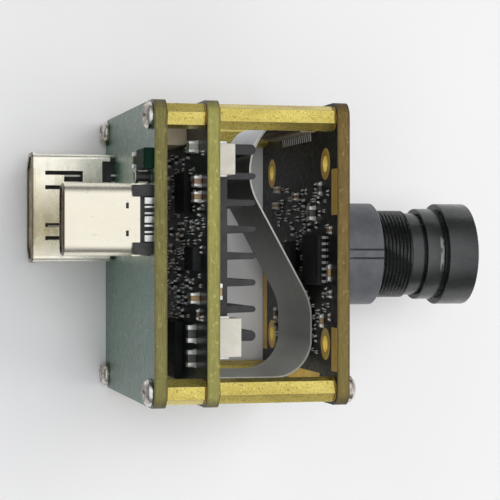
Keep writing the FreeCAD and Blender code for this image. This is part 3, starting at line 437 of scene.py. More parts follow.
barrelLook = {
    "tone": ((0.088, 0.091, 0.091), (0.072, 0.074, 0.074)),
    "grain": (0.6, 1, 1),
    # pale patch colour: partly bare metal, partly painted glint
    "bare": (0.34, 0.34, 0.33),
    "markPlace": 17.05,
    "markAlong": (0.18, 0.32),
    "markAcross": (1.9, 2.5),
}


def barrelMaterial():
    # Anodised turning, with a narrow broken pale patch on its upper half at the front end of its ring, partly
    # rubbed bare and partly a painted glint
    tones, grain = barrelLook["tone"], barrelLook["grain"]
    m = Sheet("barrel", tones[0], 0.28, 0.92)
    tone = m.blend(m.patches(420, 0.35, 0.7, 4, grain), *tones)
    # Pale patch at the ring's front end, upper half only: partly rubbed bare, partly painted glint
    markX = boardBoxes["sensor"][1].x + barrelLook["markPlace"] * mm
    atRing = m.within(m.away(m.axis("X"), markX), *barrelLook["markAlong"])
    atMiddle = m.within(m.calc("ABSOLUTE", m.axis("Y")), *barrelLook["markAcross"])
    above = m.calc("GREATER_THAN", m.axis("Z"), axisZ)
    broken = m.patches(1100, 0.38, 0.5, 3, (2.0, 0.6, 1))
    m.color(m.blend(m.times(m.times(atRing, atMiddle), m.times(above, broken)), tone, barrelLook["bare"]))
    m.rough(m.patches(1900, 0.3, 0.75, 3, grain, 0.22, 0.38))
    m.bump(m.noise(3000, 3, grain), 0.1, 0.02)
    return m.mat


leadLook = {
    # side: painted highlight; top: painted shade
    "side": ((0.95, 0.95, 0.92), (0.8, 0.8, 0.77)),
    "top": (0.045, 0.045, 0.042),
}


def leadMaterial():
    # Tinned leads, coloured by facing: painted highlight on their sides and painted shade on the flat that
    # faces away from the board
    m = Sheet("leads", (0.9, 0.9, 0.87), 0.4, 0.1)
    side = m.blend(m.patches(2600, 0.4, 0.7), *leadLook["side"])
    # Colour by facing: painted shade on the top flat, painted highlight on the sides
    m.color(m.blend(m.facing("Z", 0.5, 0.7), leadLook["top"], side))
    m.rough(m.patches(1500, 0.3, 0.7, 2, toLow=0.35, toHigh=0.5))
    m.bump(m.noise(3000, 3), 0.1, 0.01)
    return m.mat


holderLook = {
    "tone": ((0.075, 0.08, 0.09), (0.105, 0.112, 0.125)),
    # painted shade colour for the grooves
    "groove": (0.012, 0.012, 0.014),
    "ribSide": 0.57,
    "grooveShadeReach": (0.09, 0.2),
}


def holderMaterial():
    # Grey moulding with a fine grain, with painted shade in the narrow grooves beside its ribs
    m = Sheet("holder", (0.085, 0.09, 0.1), 0.42)
    fromRib = m.away(m.calc("ABSOLUTE", m.axis("Y")), holderLook["ribSide"] * mm)
    # Painted shade in the grooves beside the ribs
    groove = m.times(m.within(fromRib, *holderLook["grooveShadeReach"]), 0.85)
    tone = m.blend(m.patches(600, 0.38, 0.72, 4), *holderLook["tone"])
    m.color(m.blend(groove, tone, holderLook["groove"]))
    m.rough(m.patches(2200, 0.3, 0.7, toLow=0.36, toHigh=0.5))
    m.bump(m.noise(3500, 3), 0.35, 0.015)
    return m.mat


flexLook = {
    "linePitch": 1.0,
    "film": ((0.19, 0.2, 0.184), (0.235, 0.246, 0.227)),
    "line": (0.36, 0.37, 0.34),
    "cut": (0.5, 0.51, 0.47),
    # painted light: paler toward the lower bend, along Y
    "paintedLightAlongY": [(4, -10, 0.5, (0.45, 0.47, 0.43)), (-11, -14.5, 0.95, (0.9, 0.92, 0.85))],
}


def flexMaterial():
    # Grey film over copper lines that run along it, with painted light making it paler toward its lower bend,
    # and paler on its cut edges
    m = Sheet("flexFilm", (0.13, 0.137, 0.126), 0.36, Specular_IOR_Level=0.6)
    tone = m.blend(m.patches(160, 0.35, 0.7), *flexLook["film"])
    for start, end, most, pale in flexLook["paintedLightAlongY"]:
        # Painted light: paler down toward the lower bend
        tone = m.blend(m.span(m.axis("Y"), start * mm, end * mm, 0.0, most), tone, pale)
    lines = m.waves("Z", flexLook["linePitch"])
    tone = m.blend(m.times(m.span(lines, -0.2, 0.5), 0.1), tone, flexLook["line"])
    m.color(m.blend(m.facing("Z", 0.5, 0.7), tone, flexLook["cut"]))
    m.rough(m.patches(1400, 0.3, 0.7, toLow=0.32, toHigh=0.45))
    m.bump(lines, 0.05, 0.02)
    m.bump(m.noise(900, 3), 0.1, 0.03)
    return m.mat


materials = {name: boardMaterial(name) for name in boards}
for looks, make in ((metals, metalMaterial), (shells, shellMaterial)):
    for matName, look in looks.items():
        materials[matName] = make(matName, **look)
for matName, look in plastics.items():
    materials[matName] = plasticMaterial(matName, *look)
materials.update({
    "epoxy": plasticMaterial("epoxy", (0.012, 0.012, 0.013), (0.024, 0.024, 0.025), 0.6, 6000, 0.5,
                             Specular_IOR_Level=0.2),
    "greenEpoxy": plasticMaterial("greenEpoxy", (0.003, 0.014, 0.008), (0.006, 0.024, 0.014), 0.6, 3000, 0.1,
                                  Specular_IOR_Level=0.06),
    "heatsink": plasticMaterial("heatsink", (0.022, 0.022, 0.023), (0.036, 0.036, 0.038), 0.42, 2600, 0.3,
                                Specular_IOR_Level=0.4),
    "white": plasticMaterial("white", (0.56, 0.535, 0.47), (0.65, 0.625, 0.56), 0.5, 3000, 0.4,
                             Subsurface_Weight=0.08, Subsurface_Scale=0.002),
    "clearGlass": glassMaterial("clearGlass", (0.95, 0.98, 0.97), 1.5, (0.9, 0.95, 1.0)),
    "filterGlass": glassMaterial("filterGlass", (0.6, 0.88, 0.85), 1.5, (1.0, 0.45, 0.5)),
    "lensGlass": glassMaterial("lensGlass", (0.97, 0.98, 1.0), 1.6, (0.55, 0.35, 0.9)),
    "screwNickel": screwMaterial(),
    "flex": flexMaterial(),
    "holder": holderMaterial(),
    "leads": leadMaterial(),
    "barrel": barrelMaterial(),
})
print("stage materials", len(materials))


# Mesh helpers
def placed(name, bm, mats=()):
    # The bmesh as a new object
    mesh = bpy.data.meshes.new(name)
    bm.to_mesh(mesh)
    bm.free()
    for mat in mats:
        mesh.materials.append(materials[mat])
    piece = bpy.data.objects.new(name, mesh)
    scene.collection.objects.link(piece)
    return piece


def smoothed(piece, angle=35):
    piece.data.shade_smooth()
    piece.data.set_sharp_from_angle(angle=math.radians(angle))


def settled(piece):
    # The piece with its modifiers made plain
    graph = bpy.context.evaluated_depsgraph_get()
    mesh = bpy.data.meshes.new_from_object(piece.evaluated_get(graph), depsgraph=graph)
    piece.modifiers.clear()
    old = piece.data
    piece.data = mesh
    bpy.data.meshes.remove(old)


def assigned(piece, body=module, replaced=()):
    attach(piece, body)
    if replaced:
        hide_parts(*replaced)


def newPiece(name, bm, mats, body=module, replaced=(), smooth=35):
    bmesh.ops.recalc_face_normals(bm, faces=bm.faces)
    piece = placed(name, bm, mats)
    if smooth:
        smoothed(piece, smooth)
    assigned(piece, body, replaced)
    return piece


def welded(node):
    # The CAD node's mesh with the corners that its triangles share joined
    bm = bmesh.new()
    bm.from_mesh(nodes[node].data)
    bmesh.ops.remove_doubles(bm, verts=bm.verts, dist=1e-6)
    return bm


def softened(node, width, mats, body=module):
    # Stands for a CAD node: the same shape, with its sharp edges broken by a small round
    bm = welded(node)
    bmesh.ops.dissolve_limit(bm, angle_limit=math.radians(0.6), verts=bm.verts, edges=bm.edges)
    piece = placed(node + "_dressed", bm, mats)
    piece.data.shade_smooth()
    bevel = piece.modifiers.new("edges", "BEVEL")
    bevel.width = width * mm
    bevel.segments = 2
    bevel.limit_method = "ANGLE"
    bevel.angle_limit = math.radians(30)
    bevel.use_clamp_overlap = True
    bevel.harden_normals = True
    bevel.material = len(mats) - 1
    even = piece.modifiers.new("normals", "WEIGHTED_NORMAL")
    even.keep_sharp = True
    settled(piece)
    assigned(piece, body, (node,))


def islands(node):
    # Boxes of the separate solids in a CAD node, from the highest Y down
    bm = welded(node)
    seen = set()
    boxes = []
    for start in bm.verts:
        if start.index in seen:
            continue
        seen.add(start.index)
        stack = [start]
        points = []
        while stack:
            vert = stack.pop()
            points.append(vert.co.copy())
            for edge in vert.link_edges:
                other = edge.other_vert(vert)
                if other.index not in seen:
                    seen.add(other.index)
                    stack.append(other)
        low = Vector([min(p[k] for p in points) for k in range(3)])
        high = Vector([max(p[k] for p in points) for k in range(3)])
        boxes.append((low, high))
    bm.free()
    return sorted(boxes, key=lambda box: -(box[0].y + box[1].y))


def addBox(bm, low, high, slot=0):
    made = bmesh.ops.create_cube(bm, size=1.0)
    middle = (low + high) / 2
    size = high - low
    for vert in made["verts"]:
        vert.co = Vector((vert.co.x * size.x, vert.co.y * size.y, vert.co.z * size.z)) + middle
    for face in {f for v in made["verts"] for f in v.link_faces}:
        face.material_index = slot


def addCircle(bm, x, radius, segments, middle, twist):
    ring = []
    for k in range(segments):
        angle = 2 * math.pi * k / segments
        r = twist(x, radius, angle) if twist else radius
        y = middle[0] + r * math.sin(angle)
        z = middle[1] + r * math.cos(angle)
        ring.append(bm.verts.new((x * mm, y * mm, z * mm)))
    return ring


def bridge(bm, rings, slots=None):
    for j in range(len(rings) - 1):
        a, b = rings[j], rings[j + 1]
        for k in range(len(a)):
            n = (k + 1) % len(a)
            face = bm.faces.new((a[k], b[k], b[n], a[n]))
            if slots:
                face.material_index = slots[j]


def addLathe(bm, outline, segments, middle=(0, centre), slots=None, twist=None):
    # A turned shape about an axis along X, the lens axis unless told, from (x, radius) points in millimetres
    rings = [addCircle(bm, x, radius, segments, middle, twist) for x, radius in outline]
    bridge(bm, rings, slots)
    return rings


# Geometry nodes: a row of copies of one small piece
rowLook = {"jitter": 0.01, "seed": 3}
rowInputs = {
    "Geometry": "NodeSocketGeometry",
    "Count": "NodeSocketInt",
    "Start": "NodeSocketVector",
    "Step": "NodeSocketVector",
    "Jitter": "NodeSocketFloat",
    "Seed": "NodeSocketInt",
    "Finish": "NodeSocketMaterial",
}


def rowGroup():
    group = bpy.data.node_groups.new("rowOfPieces", "GeometryNodeTree")
    for label, kind in rowInputs.items():
        group.interface.new_socket(label, in_out="INPUT", socket_type=kind)
    group.interface.new_socket("Geometry", in_out="OUTPUT", socket_type="NodeSocketGeometry")
    add = group.nodes.new
    link = group.links.new
    source = add("NodeGroupInput")
    line = add("GeometryNodeMeshLine")
    spread = add("FunctionNodeRandomValue")
    spread.data_type = "FLOAT_VECTOR"
    negative = add("ShaderNodeMath")
    negative.operation = "MULTIPLY"
    negative.inputs[1].default_value = -1.0
    shift = add("GeometryNodeSetPosition")
    copies = add("GeometryNodeInstanceOnPoints")
    real = add("GeometryNodeRealizeInstances")
    finish = add("GeometryNodeSetMaterial")
    target = add("NodeGroupOutput")
    link(source.outputs["Count"], line.inputs["Count"])
    link(source.outputs["Start"], line.inputs["Start Location"])
    link(source.outputs["Step"], line.inputs["Offset"])
    link(source.outputs["Jitter"], negative.inputs[0])
    link(negative.outputs[0], spread.inputs[0])
    link(source.outputs["Jitter"], spread.inputs[1])
    link(source.outputs["Seed"], spread.inputs["Seed"])
    link(line.outputs["Mesh"], shift.inputs["Geometry"])
    link(spread.outputs[0], shift.inputs["Offset"])
    link(shift.outputs["Geometry"], copies.inputs["Points"])
    link(source.outputs["Geometry"], copies.inputs["Instance"])
    link(copies.outputs["Instances"], real.inputs["Geometry"])
    link(real.outputs["Geometry"], finish.inputs["Geometry"])
    link(source.outputs["Finish"], finish.inputs["Material"])
    link(finish.outputs["Geometry"], target.inputs["Geometry"])
    return group


rows = rowGroup()


def rowPiece(name, bm, count, start, step, mat, replaced=()):
    # One small piece repeated along a line by the row group, then made plain
    bmesh.ops.recalc_face_normals(bm, faces=bm.faces)
    piece = placed(name, bm)
    modifier = piece.modifiers.new("row", "NODES")
    modifier.node_group = rows
    values = {"Count": count, "Start": start, "Step": step, "Jitter": rowLook["jitter"] * mm,
              "Seed": rowLook["seed"], "Finish": materials[mat]}
    for item in rows.interface.items_tree:
        if item.item_type == "SOCKET" and item.in_out == "INPUT" and item.name in values:
            modifier[item.identifier] = values[item.name]
    settled(piece)
    smoothed(piece)
    assigned(piece, replaced=replaced)


# CAD nodes that keep their own mesh
kept = {
    "interface_board": "interface", "processor_board": "processor", "sensor_board": "sensor",
    "thermal_pad": "pad", "sensor_cover_glass": "clearGlass", "ir_filter": "filterGlass",
    "rear_glass": "lensGlass", "middle_glass": "lensGlass", "front_glass": "lensGlass",
    "rear_glass_ring": "barrel", "middle_glass_ring": "barrel",
    "hdmi_contacts": "tin", "upper_header_pins": "tin", "lower_header_pins": "tin",
}
for nodeName, matName in kept.items():
    data = nodes[nodeName].data
    data.materials.clear()
    data.materials.append(materials[matName])

# CAD nodes that need their edges broken: how far, and the material
soft = {
    "processor_chip": (0.06, "epoxy"), "image_sensor": (0.05, "ceramicDark"),
    "link_plug": (0.06, "cream"), "link_socket": (0.06, "cream"),
    "flex_lower_socket": (0.06, "cream"), "flex_upper_socket": (0.07, "cream"),
    "flex_upper_latch": (0.08, "latch"), "upper_header": (0.09, "white"), "lower_header": (0.09, "white"),
    "usb_base": (0.06, "blackPlastic"), "hdmi_insulator": (0.06, "blackPlastic"),
    "heatsink": (0.08, "heatsink"), "lens_holder": (0.05, "holder"),
    "usb_shell": (0.07, "usbSteel"), "hdmi_shell": (0.07, "hdmiNickel"),
    "rear_screws": (0.06, "screwNickel"), "front_screws": (0.06, "screwNickel"),
    "flex_stiffeners": (0.02, "stiffener"), "front_glass_ring": (0.08, "barrel"),
    "flex_cable": (0.04, "flex"), "usb_contacts": (0.07, "solder"), "interface_chip": (0.05, "greenEpoxy"),
}
bodyOf = {"front_glass_ring": "lens_glass"}
for nodeName in nodes:
    if nodeName.endswith("_chip") and nodeName not in soft:
        soft[nodeName] = (0.05, "epoxy")
for nodeName, (width, matName) in soft.items():
    softened(nodeName, width, [matName], bodyOf.get(nodeName, module))
for corner in ("upper_left", "upper_right", "lower_left", "lower_right"):
    for rank in ("rear", "front"):
        # Spacer bevels in paler brass: partly edge wear, partly painted highlight
        softened(rank + "_spacer_" + corner, 0.05, ["brass", "brassEdge"])
print("stage softened nodes")


# Gull leads, in rows made by the row group; the bends are shares of the reach
bends = {"foot": 0.5, "slope": 0.8, "lag": 0.06}
socketLead = {"width": 0.38, "reach": 1.0, "thick": 0.14, "rise": 0.08}
chipLead = {"width": 0.32, "reach": 1.0, "thick": 0.15, "rise": 0.44}


def gullLead(width, reach, thick, rise):
    # Along +Y from its foot on the board up a slope to its raised end at the part, standing up along -X
    foot, slope, lag = (reach * bends[key] for key in ("foot", "slope", "lag"))
    below = [(0, 0), (0, foot), (-rise, slope), (-rise, reach)]
    above = [(-rise - thick, reach), (-rise - thick, slope - lag), (-thick, foot - lag), (-thick, 0)]
    bm = bmesh.new()
    left = [bm.verts.new((x * mm, y * mm, -width / 2 * mm)) for x, y in below + above]
    right = [bm.verts.new((x * mm, y * mm, width / 2 * mm)) for x, y in below + above]
    bm.faces.new(left)
    bm.faces.new(right[::-1])
    bridge(bm, [left, right])
    return bm


def socketTails(node, name, faceName, towardY):
    # The photo shows one tail for two of the solids' contacts: half as many here, twice as far apart
    boxes = sorted(islands(node), key=lambda box: box[0].z)
    first, last = boxes[0], boxes[-1]
    step = (last[0].z - first[0].z) / (len(boxes) - 1)
    x, way = faceX[faceName]
    bm = gullLead(**socketLead)
    bmesh.ops.scale(bm, vec=(-way, towardY, 1), verts=bm.verts)
    y = first[0].y if towardY > 0 else first[1].y
    start = (x, y, (first[0].z + first[1].z + step) / 2)
    rowPiece(name, bm, len(boxes) // 2, start, (0, 0, step * 2), "leads", (node,))


def chipLeads():
    # Two rows of leads beside the driver chip
    boxes = islands("driver_chip_leads")
    lowRow = [box for box in boxes if box[0].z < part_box("sensor_driver_chip")[0][2]]
    highRow = [box for box in boxes if box not in lowRow]
    x, way = faceX["sensorRear"]
    for name, row, toward in (("driverLeadsLow", lowRow, 1), ("driverLeadsHigh", highRow, -1)):
        row.sort(key=lambda box: box[0].y)
        step = (row[-1][0].y - row[0][0].y) / (len(row) - 1)
        bm = gullLead(**chipLead)
        bmesh.ops.rotate(bm, cent=(0, 0, 0), matrix=Matrix.Rotation(math.radians(90), 3, "X"), verts=bm.verts)
        bmesh.ops.scale(bm, vec=(-way, 1, toward), verts=bm.verts)
        z = row[0][0].z if toward > 0 else row[0][1].z
        start = (x, (row[0][0].y + row[0][1].y) / 2, z)
        replaced = ("driver_chip_leads",) if name == "driverLeadsLow" else ()
        rowPiece(name, bm, len(row), start, (0, step, 0), "pins", replaced)


socketTails("flex_upper_contacts", "flexUpperTails", "sensorRear", 1)
socketTails("flex_lower_contacts", "flexLowerTails", "processorFront", -1)
chipLeads()
print("stage leads")


# Small parts: a ceramic body between two tinned caps, with a wedge of solder beyond each cap
smallPart = {
    "uprightFrom": 2.2,
    "cap": 0.26,
    "inset": 0.04,
    "solderReach": 0.15,
    "solderRise": 0.5,
    "round": 0.05,
}
partLook = {
    "interface_outer_parts": ("interfaceRear", ["capOlive"]),
    "interface_inner_parts": ("interfaceFront", ["capTan", "capBrown"]),
    "processor_rear_capacitors": ("processorRear", [
        "capPale", "capBrown", "capPink", "capTan", "capBrown", "epoxy", "epoxy", "epoxy", "epoxy", "capTan",
        "epoxy", "capBrown", "capGrey", "capGrey"]),
    "processor_front_parts": ("processorFront", ["capGrey", "capTan", "capBrown"]),
    "sensor_rear_parts": ("sensorRear", ["capTan", "capGrey", "capBrown"]),
    "sensor_front_parts": ("sensorFront", ["capTan", "capGrey"]),
}


def addWedge(bm, corner, along, across, width, reach, rise):
    # Solder from its corner at the board: out by reach along the part, up by rise along X, and width across
    sides = []
    for shift in (0, width):
        side = []
        for up, out in ((0, 0), (0, reach), (rise, 0)):
            point = corner.copy()
            point.x += up
            point[along] += out
            point[across] += shift
            side.append(bm.verts.new(point))
        sides.append(side)
    bm.faces.new(sides[0])
    bm.faces.new(sides[1][::-1])
    bridge(bm, sides)


def addSmallPart(bm, low, high, way, slot):
    size = high - low
    along = 2 if size.z > smallPart["uprightFrom"] * size.y else 1
    across = 3 - along
    cap = size[along] * smallPart["cap"]
    inset = min(size[along], size[across]) * smallPart["inset"]
    bodyLow, bodyHigh = low.copy(), high.copy()
    bodyLow[along] += cap
    bodyHigh[along] -= cap
    for axis in (0, across):
        bodyLow[axis] += inset
        bodyHigh[axis] -= inset
    addBox(bm, bodyLow, bodyHigh, slot)
    capHigh, capLow = high.copy(), low.copy()
    capHigh[along] = low[along] + cap
    capLow[along] = high[along] - cap
    addBox(bm, low, capHigh)
    addBox(bm, capLow, high)
    reach = min(smallPart["solderReach"] * mm, cap)
    for end, toward in ((low[along], -1), (high[along], 1)):
        corner = Vector((high.x if way < 0 else low.x, 0, 0))
        corner[along] = end
        corner[across] = low[across] + inset
        rise = size.x * smallPart["solderRise"] * way
        addWedge(bm, corner, along, across, size[across] - 2 * inset, reach * toward, rise)


def partPiece(name, boxes, faceName, looks, replaced=(), width=smallPart["round"]):
    bm = bmesh.new()
    for k, (low, high) in enumerate(boxes):
        addSmallPart(bm, low, high, faceX[faceName][1], 1 + k % len(looks))
    piece = newPiece(name, bm, ["solder"] + looks, replaced=replaced, smooth=0)
    bevel = piece.modifiers.new("edges", "BEVEL")
    bevel.width = width * mm
    bevel.segments = 2
    bevel.angle_limit = math.radians(50)
    settled(piece)
    smoothed(piece)


for nodeName, (faceName, looks) in partLook.items():
    partPiece(nodeName + "_dressed", islands(nodeName), faceName, looks, (nodeName,))
print("stage small parts")


# Small wound drum beside the reversible socket: dark, with tin on the rims of its two flanges as a painted
# highlight
drum = {
    "middle": (9.5, 35.6),
    "length": 2.1,
    "flange": 0.8,
    "flangeThick": 0.4,
    "rim": 0.1,
    "core": 0.62,
    "segments": 36,
}


def drumCoil():
    foot = faceX["interfaceRear"][0] / mm
    flange, thick, rim = drum["flange"], drum["flangeThick"], drum["rim"]
    half = [(0, 0), (0, flange - rim), (rim, flange), (thick, flange), (thick, drum["core"])]
    outline = [(foot - x, r) for x, r in half] + [(foot - drum["length"] + x, r) for x, r in half[::-1]]
    bm = bmesh.new()
    # Slot 0, tin, on the flange rims: painted highlight
    addLathe(bm, outline, drum["segments"], drum["middle"], [1, 0, 1, 1, 1, 1, 1, 0, 1])
    bmesh.ops.remove_doubles(bm, verts=bm.verts, dist=1e-7)
    newPiece("drumCoil", bm, ["tin", "blackPlastic"])


drumCoil()
print("stage drum")


# Bare metal: rings round the screw holes, and on the sensor board plate holes and border strips (y, z, sizes)
bare = {
    "rise": 0.03,
    "segments": 40,
    "screwRing": (0.9, 1.5),
    "platePitch": (23.0, 27.2),
    "plateRing": (1.05, 2.05),
    "sleeveGap": 0.01,
    "strips": [
        (7.8, 36.6, 5.8, 2.4),
        (-12, 36.6, 5.5, 2.4),
        (-8.3, 1.4, 11.0, 2.2),
        (-16.2, 17.0, 1.6, 26.0),
    ],
}
pitchY, pitchZ = bare["platePitch"]
plateSpots = [(sideY * pitchY / 2, centre + sideZ * pitchZ / 2) for sideY, sideZ in corners]


# What already stands on each face, as (low y, high y, low z, high z), so that finer parts keep clear
def around(y, z, halfY, halfZ):
    return (y - halfY) * mm, (y + halfY) * mm, (z - halfZ) * mm, (z + halfZ) * mm


def occupied(faceName):
    x = faceX[faceName][0]
    spots = []
    for node in nodes:
        if node.endswith("_board"):
            continue
        for low, high in islands(node):
            if low.x - 0.05 * mm <= x <= high.x + 0.05 * mm:
                spots.append((low.y, high.y, low.z, high.z))
    return spots


taken = {name: occupied(name) for name in faceX}
for faceName in ("sensorRear", "sensorFront"):
    taken[faceName] += [around(y, z, bare["plateRing"][1], bare["plateRing"][1]) for y, z in plateSpots]
taken["sensorRear"] += [around(y, z, sizeY / 2, sizeZ / 2) for y, z, sizeY, sizeZ in bare["strips"]]

# Finer parts, scattered over a zone of each face (low y, high y, low z, high z), their number and seed
fine = {
    "sizes": [(1.0, 0.5, 0.4), (0.6, 0.3, 0.3), (0.8, 0.4, 0.3), (0.6, 0.3, 0.28)],
    "grid": 0.25,
    "gap": 0.22,
    "border": 0.6,
    "tries": 14,
    "round": 0.025,
}
scattered = {
    "processorRear": ((-8.5, 14, 9, 36), 130, 11, ["epoxy", "epoxy", "epoxy", "epoxy", "capBrown"]),
    "processorFront": ((-15, 15, 2.5, 36.5), 44, 12, ["epoxy", "capTan", "capBrown", "epoxy"]),
    "sensorRear": ((-13, 9, 8, 35), 115, 13, ["epoxy", "epoxy", "epoxy", "epoxy", "capBrown"]),
    "sensorFront": ((-15, 15, 4, 34), 30, 14, ["capTan", "epoxy"]),
    "interfaceFront": ((-15, 13, 4, 34), 50, 16, ["capTan", "epoxy", "capBrown"]),
}


def isFree(faceName, y, z, halfY, halfZ):
    border, gap = fine["border"] * mm, fine["gap"] * mm
    side, top = boardBoxes["sensor"][1].y, boardBoxes["sensor"][1].z
    if abs(y) + halfY > side - border or z - halfZ < border or z + halfZ > top - border:
        return False
    for low, high, zLow, zHigh in taken[faceName]:
        overY = low - gap < y + halfY and high + gap > y - halfY
        if overY and zLow - gap < z + halfZ and zHigh + gap > z - halfZ:
            return False
    return True


def scatter(faceName, zone, count, seed, looks):
    chance = random.Random(seed)
    x, way = faceX[faceName]
    boxes = []
    for attempt in range(count * fine["tries"]):
        if len(boxes) >= count:
            break
        long, short, tall = chance.choice(fine["sizes"])
        sizeY, sizeZ = (long, short) if chance.random() < 0.5 else (short, long)
        y = round(chance.uniform(zone[0], zone[1]) / fine["grid"]) * fine["grid"] * mm
        z = round(chance.uniform(zone[2], zone[3]) / fine["grid"]) * fine["grid"] * mm
        halfY, halfZ = sizeY / 2 * mm, sizeZ / 2 * mm
        if isFree(faceName, y, z, halfY, halfZ):
            taken[faceName].append((y - halfY, y + halfY, z - halfZ, z + halfZ))
            near, far = sorted((x, x + way * tall * mm))
            boxes.append((Vector((near, y - halfY, z - halfZ)), Vector((far, y + halfY, z + halfZ))))
    partPiece("fineParts_" + faceName, boxes, faceName, looks, width=fine["round"])
    return len(boxes)


for faceName, (zone, count, seed, looks) in scattered.items():
    print("fine parts", faceName, scatter(faceName, zone, count, seed, looks))


# Lens barrel: threaded tail, neck, ring and head. Places count from the sensor board's front face, and a
# group holds its places along the axis, then its radius
lens = {
    "base": boardBoxes["sensor"][1].x / mm,
    "segments": 144,
    "bore": 4.6,
    "tail": 4.4,
    "tailRadius": 5.9,
    "tailChamfer": 0.4,
    "threadShown": 8.0,
    "threadEnd": 12.85,
    "threadRadius": 5.95,
    "threadDepth": 0.27,
    "pitch": 0.5,
    "rowsPerPitch": 8,
    "flank": 2.5,
    "land": 0.1,
    "runOut": 0.02,
    "neck": (13.1, 5.6),
    "undercut": (14.62, 5.35),
    "ring": (14.94, 17.28, 6.22),
    "ringSlope": 0.15,
    "groove": (17.58, 5.95),
    "head": (17.84, 22.0, 6.9),
    "headRound": [(0.18, 0), (0.06, 0.04), (0, 0.14)],
    "edge": 0.08,
    "mouth": 6.3,
    "recess": (18.3, 21.4, 5.9),
    "stop": (9.6, 10.4, 3.7),
}


def barrelFront():
    # Outline from the thread's end round the head and back through the bore
    bore, edge = lens["bore"], lens["edge"]
    neck, neckRadius = lens["neck"]
    undercut, undercutRadius = lens["undercut"]
    ringStart, ringEnd, ring = lens["ring"]
    groove, grooveRadius = lens["groove"]
    headStart, headEnd, head = lens["head"]
    recessStart, recessEnd, recess = lens["recess"]
    stopStart, stopEnd, stop = lens["stop"]
    return [
        (lens["threadEnd"], lens["threadRadius"] - lens["runOut"]), (neck, neckRadius),
        (undercut, neckRadius), (undercut, undercutRadius), (ringStart, undercutRadius),
        (ringStart, ring - edge), (ringStart + edge, ring), (ringEnd, ring),
        (groove, ring - lens["ringSlope"]), (groove, grooveRadius), (headStart, grooveRadius),
        (headStart, head - edge), (headStart + edge, head),
        *[(headEnd - back, head - down) for back, down in lens["headRound"]],
        (headEnd, lens["mouth"]), (recessEnd, recess), (recessStart, recess), (recessStart, bore),
        (stopEnd, bore), (stopEnd, stop), (stopStart, stop), (stopStart, bore), (lens["tail"], bore),
    ]


def lensBarrel():
    base, tail, shown, pitch = lens["base"], lens["tail"], lens["threadShown"], lens["pitch"]
    length = lens["threadEnd"] - shown
    steps = int(length / pitch * lens["rowsPerPitch"])

    def wound(x, radius, angle):
        turn = ((x - base) / pitch + angle / (2 * math.pi)) % 1.0
        cut = min(1.0, max(0.0, abs(turn - 0.5) * lens["flank"] - lens["land"]))
        return radius - lens["threadDepth"] * cut

    def turned(outline, twist=None):
        return addLathe(bm, [(base + x, radius) for x, radius in outline], lens["segments"], twist=twist)

    bm = bmesh.new()
    radius, chamfer = lens["tailRadius"], lens["tailChamfer"]
    end = [(tail, lens["bore"]), (tail, radius - chamfer), (tail + chamfer, radius), (shown, radius)]
    first = turned(end)
    middle = turned([(shown + length * k / steps, lens["threadRadius"]) for k in range(1, steps)], wound)
    last = turned(barrelFront())
    bridge(bm, [first[-1], middle[0]])
    bridge(bm, [middle[-1], last[0]])
    bmesh.ops.remove_doubles(bm, verts=bm.verts, dist=1e-7)
    newPiece("lensBarrel", bm, ["barrel"], "lens_barrel", ("lens_barrel",), 32)


lensBarrel()
print("stage lens")


# Pads, rings and plated walls of bare metal on the boards
def addRing(bm, faceName, y, z, inner, outer):
    x, way = faceX[faceName]
    foot = x / mm
    top = foot + way * bare["rise"]
    outline = [(foot, outer), (top, outer - bare["rise"]), (top, inner), (foot, inner)]
    addLathe(bm, outline, bare["segments"], (y, z))


def addStrip(bm, faceName, y, z, sizeY, sizeZ):
    x, way = faceX[faceName]
    near, far = sorted((x, x + way * bare["rise"] * mm))
    lowY, highY, lowZ, highZ = around(y, z, sizeY / 2, sizeZ / 2)
    addBox(bm, Vector((near, lowY, lowZ)), Vector((far, highY, highZ)))


def addScrewRings(bm, faceNames):
    for faceName in faceNames:
        for sideY, sideZ in corners:
            addRing(bm, faceName, sideY * holeSide, centre + sideZ * holeSide, *bare["screwRing"])


def sensorPads():
    bm = bmesh.new()
    for faceName in ("sensorRear", "sensorFront"):
        for y, z in plateSpots:
            addRing(bm, faceName, y, z, *bare["plateRing"])
    addScrewRings(bm, ("sensorRear", "sensorFront"))
    for strip in bare["strips"]:
        addStrip(bm, "sensorRear", *strip)
    newPiece("sensorPads", bm, ["gold"], smooth=30)


def plateSleeves():
    # Walls of the plate holes in brightened gold, as painted light
    bm = bmesh.new()
    low, high = boardBoxes["sensor"]
    radius = bare["plateRing"][0] + bare["sleeveGap"]
    for spot in plateSpots:
        addLathe(bm, [(low.x / mm, radius), (high.x / mm, radius)], bare["segments"], spot)
    newPiece("plateSleeves", bm, ["plating"], smooth=30)


def boardPads():
    bm = bmesh.new()
    addScrewRings(bm, ("interfaceRear", "interfaceFront", "processorRear", "processorFront"))
    newPiece("boardPads", bm, ["gold"], smooth=30)


sensorPads()
plateSleeves()
boardPads()
print("stage pads")


# Floor, world and lamps; at the horizon and the zenith, how high a ray looks and how bright it finds the ramp
studio = {
    "floorSize": 3.0,
    "floorDrop": 0.02,
    "paper": ((0.835, 0.835, 0.845), (0.85, 0.85, 0.86)),
    "backdrop": (0.88, 0.885, 0.89),
    "ambient": (0.27, (0.95, 0.97, 1.0)),
    "mirrored": (0.97, 0.98, 1.0),
    "horizon": (0.35, 0.25),
    "zenith": (0.95, 1.15),
    "aim": (0, 0, 0.02),
}
lamps = {
    "key": {"place": (0.4, 0.13, 0.66), "size": 0.75, "power": 3.15, "color": (1.0, 0.985, 0.96)},
    "top": {"place": (-0.02, 0.03, 0.85), "size": 0.4, "power": 2.4, "color": (1.0, 1.0, 1.0)},
    "side": {"place": (-0.4, 0.36, 0.35), "size": 0.5, "power": 0.3, "color": (1.0, 1.0, 1.0)},
    "low": {"place": (0.15, -0.45, 0.35), "size": 0.5, "power": 0.8, "color": (1.0, 1.0, 1.0)},
}


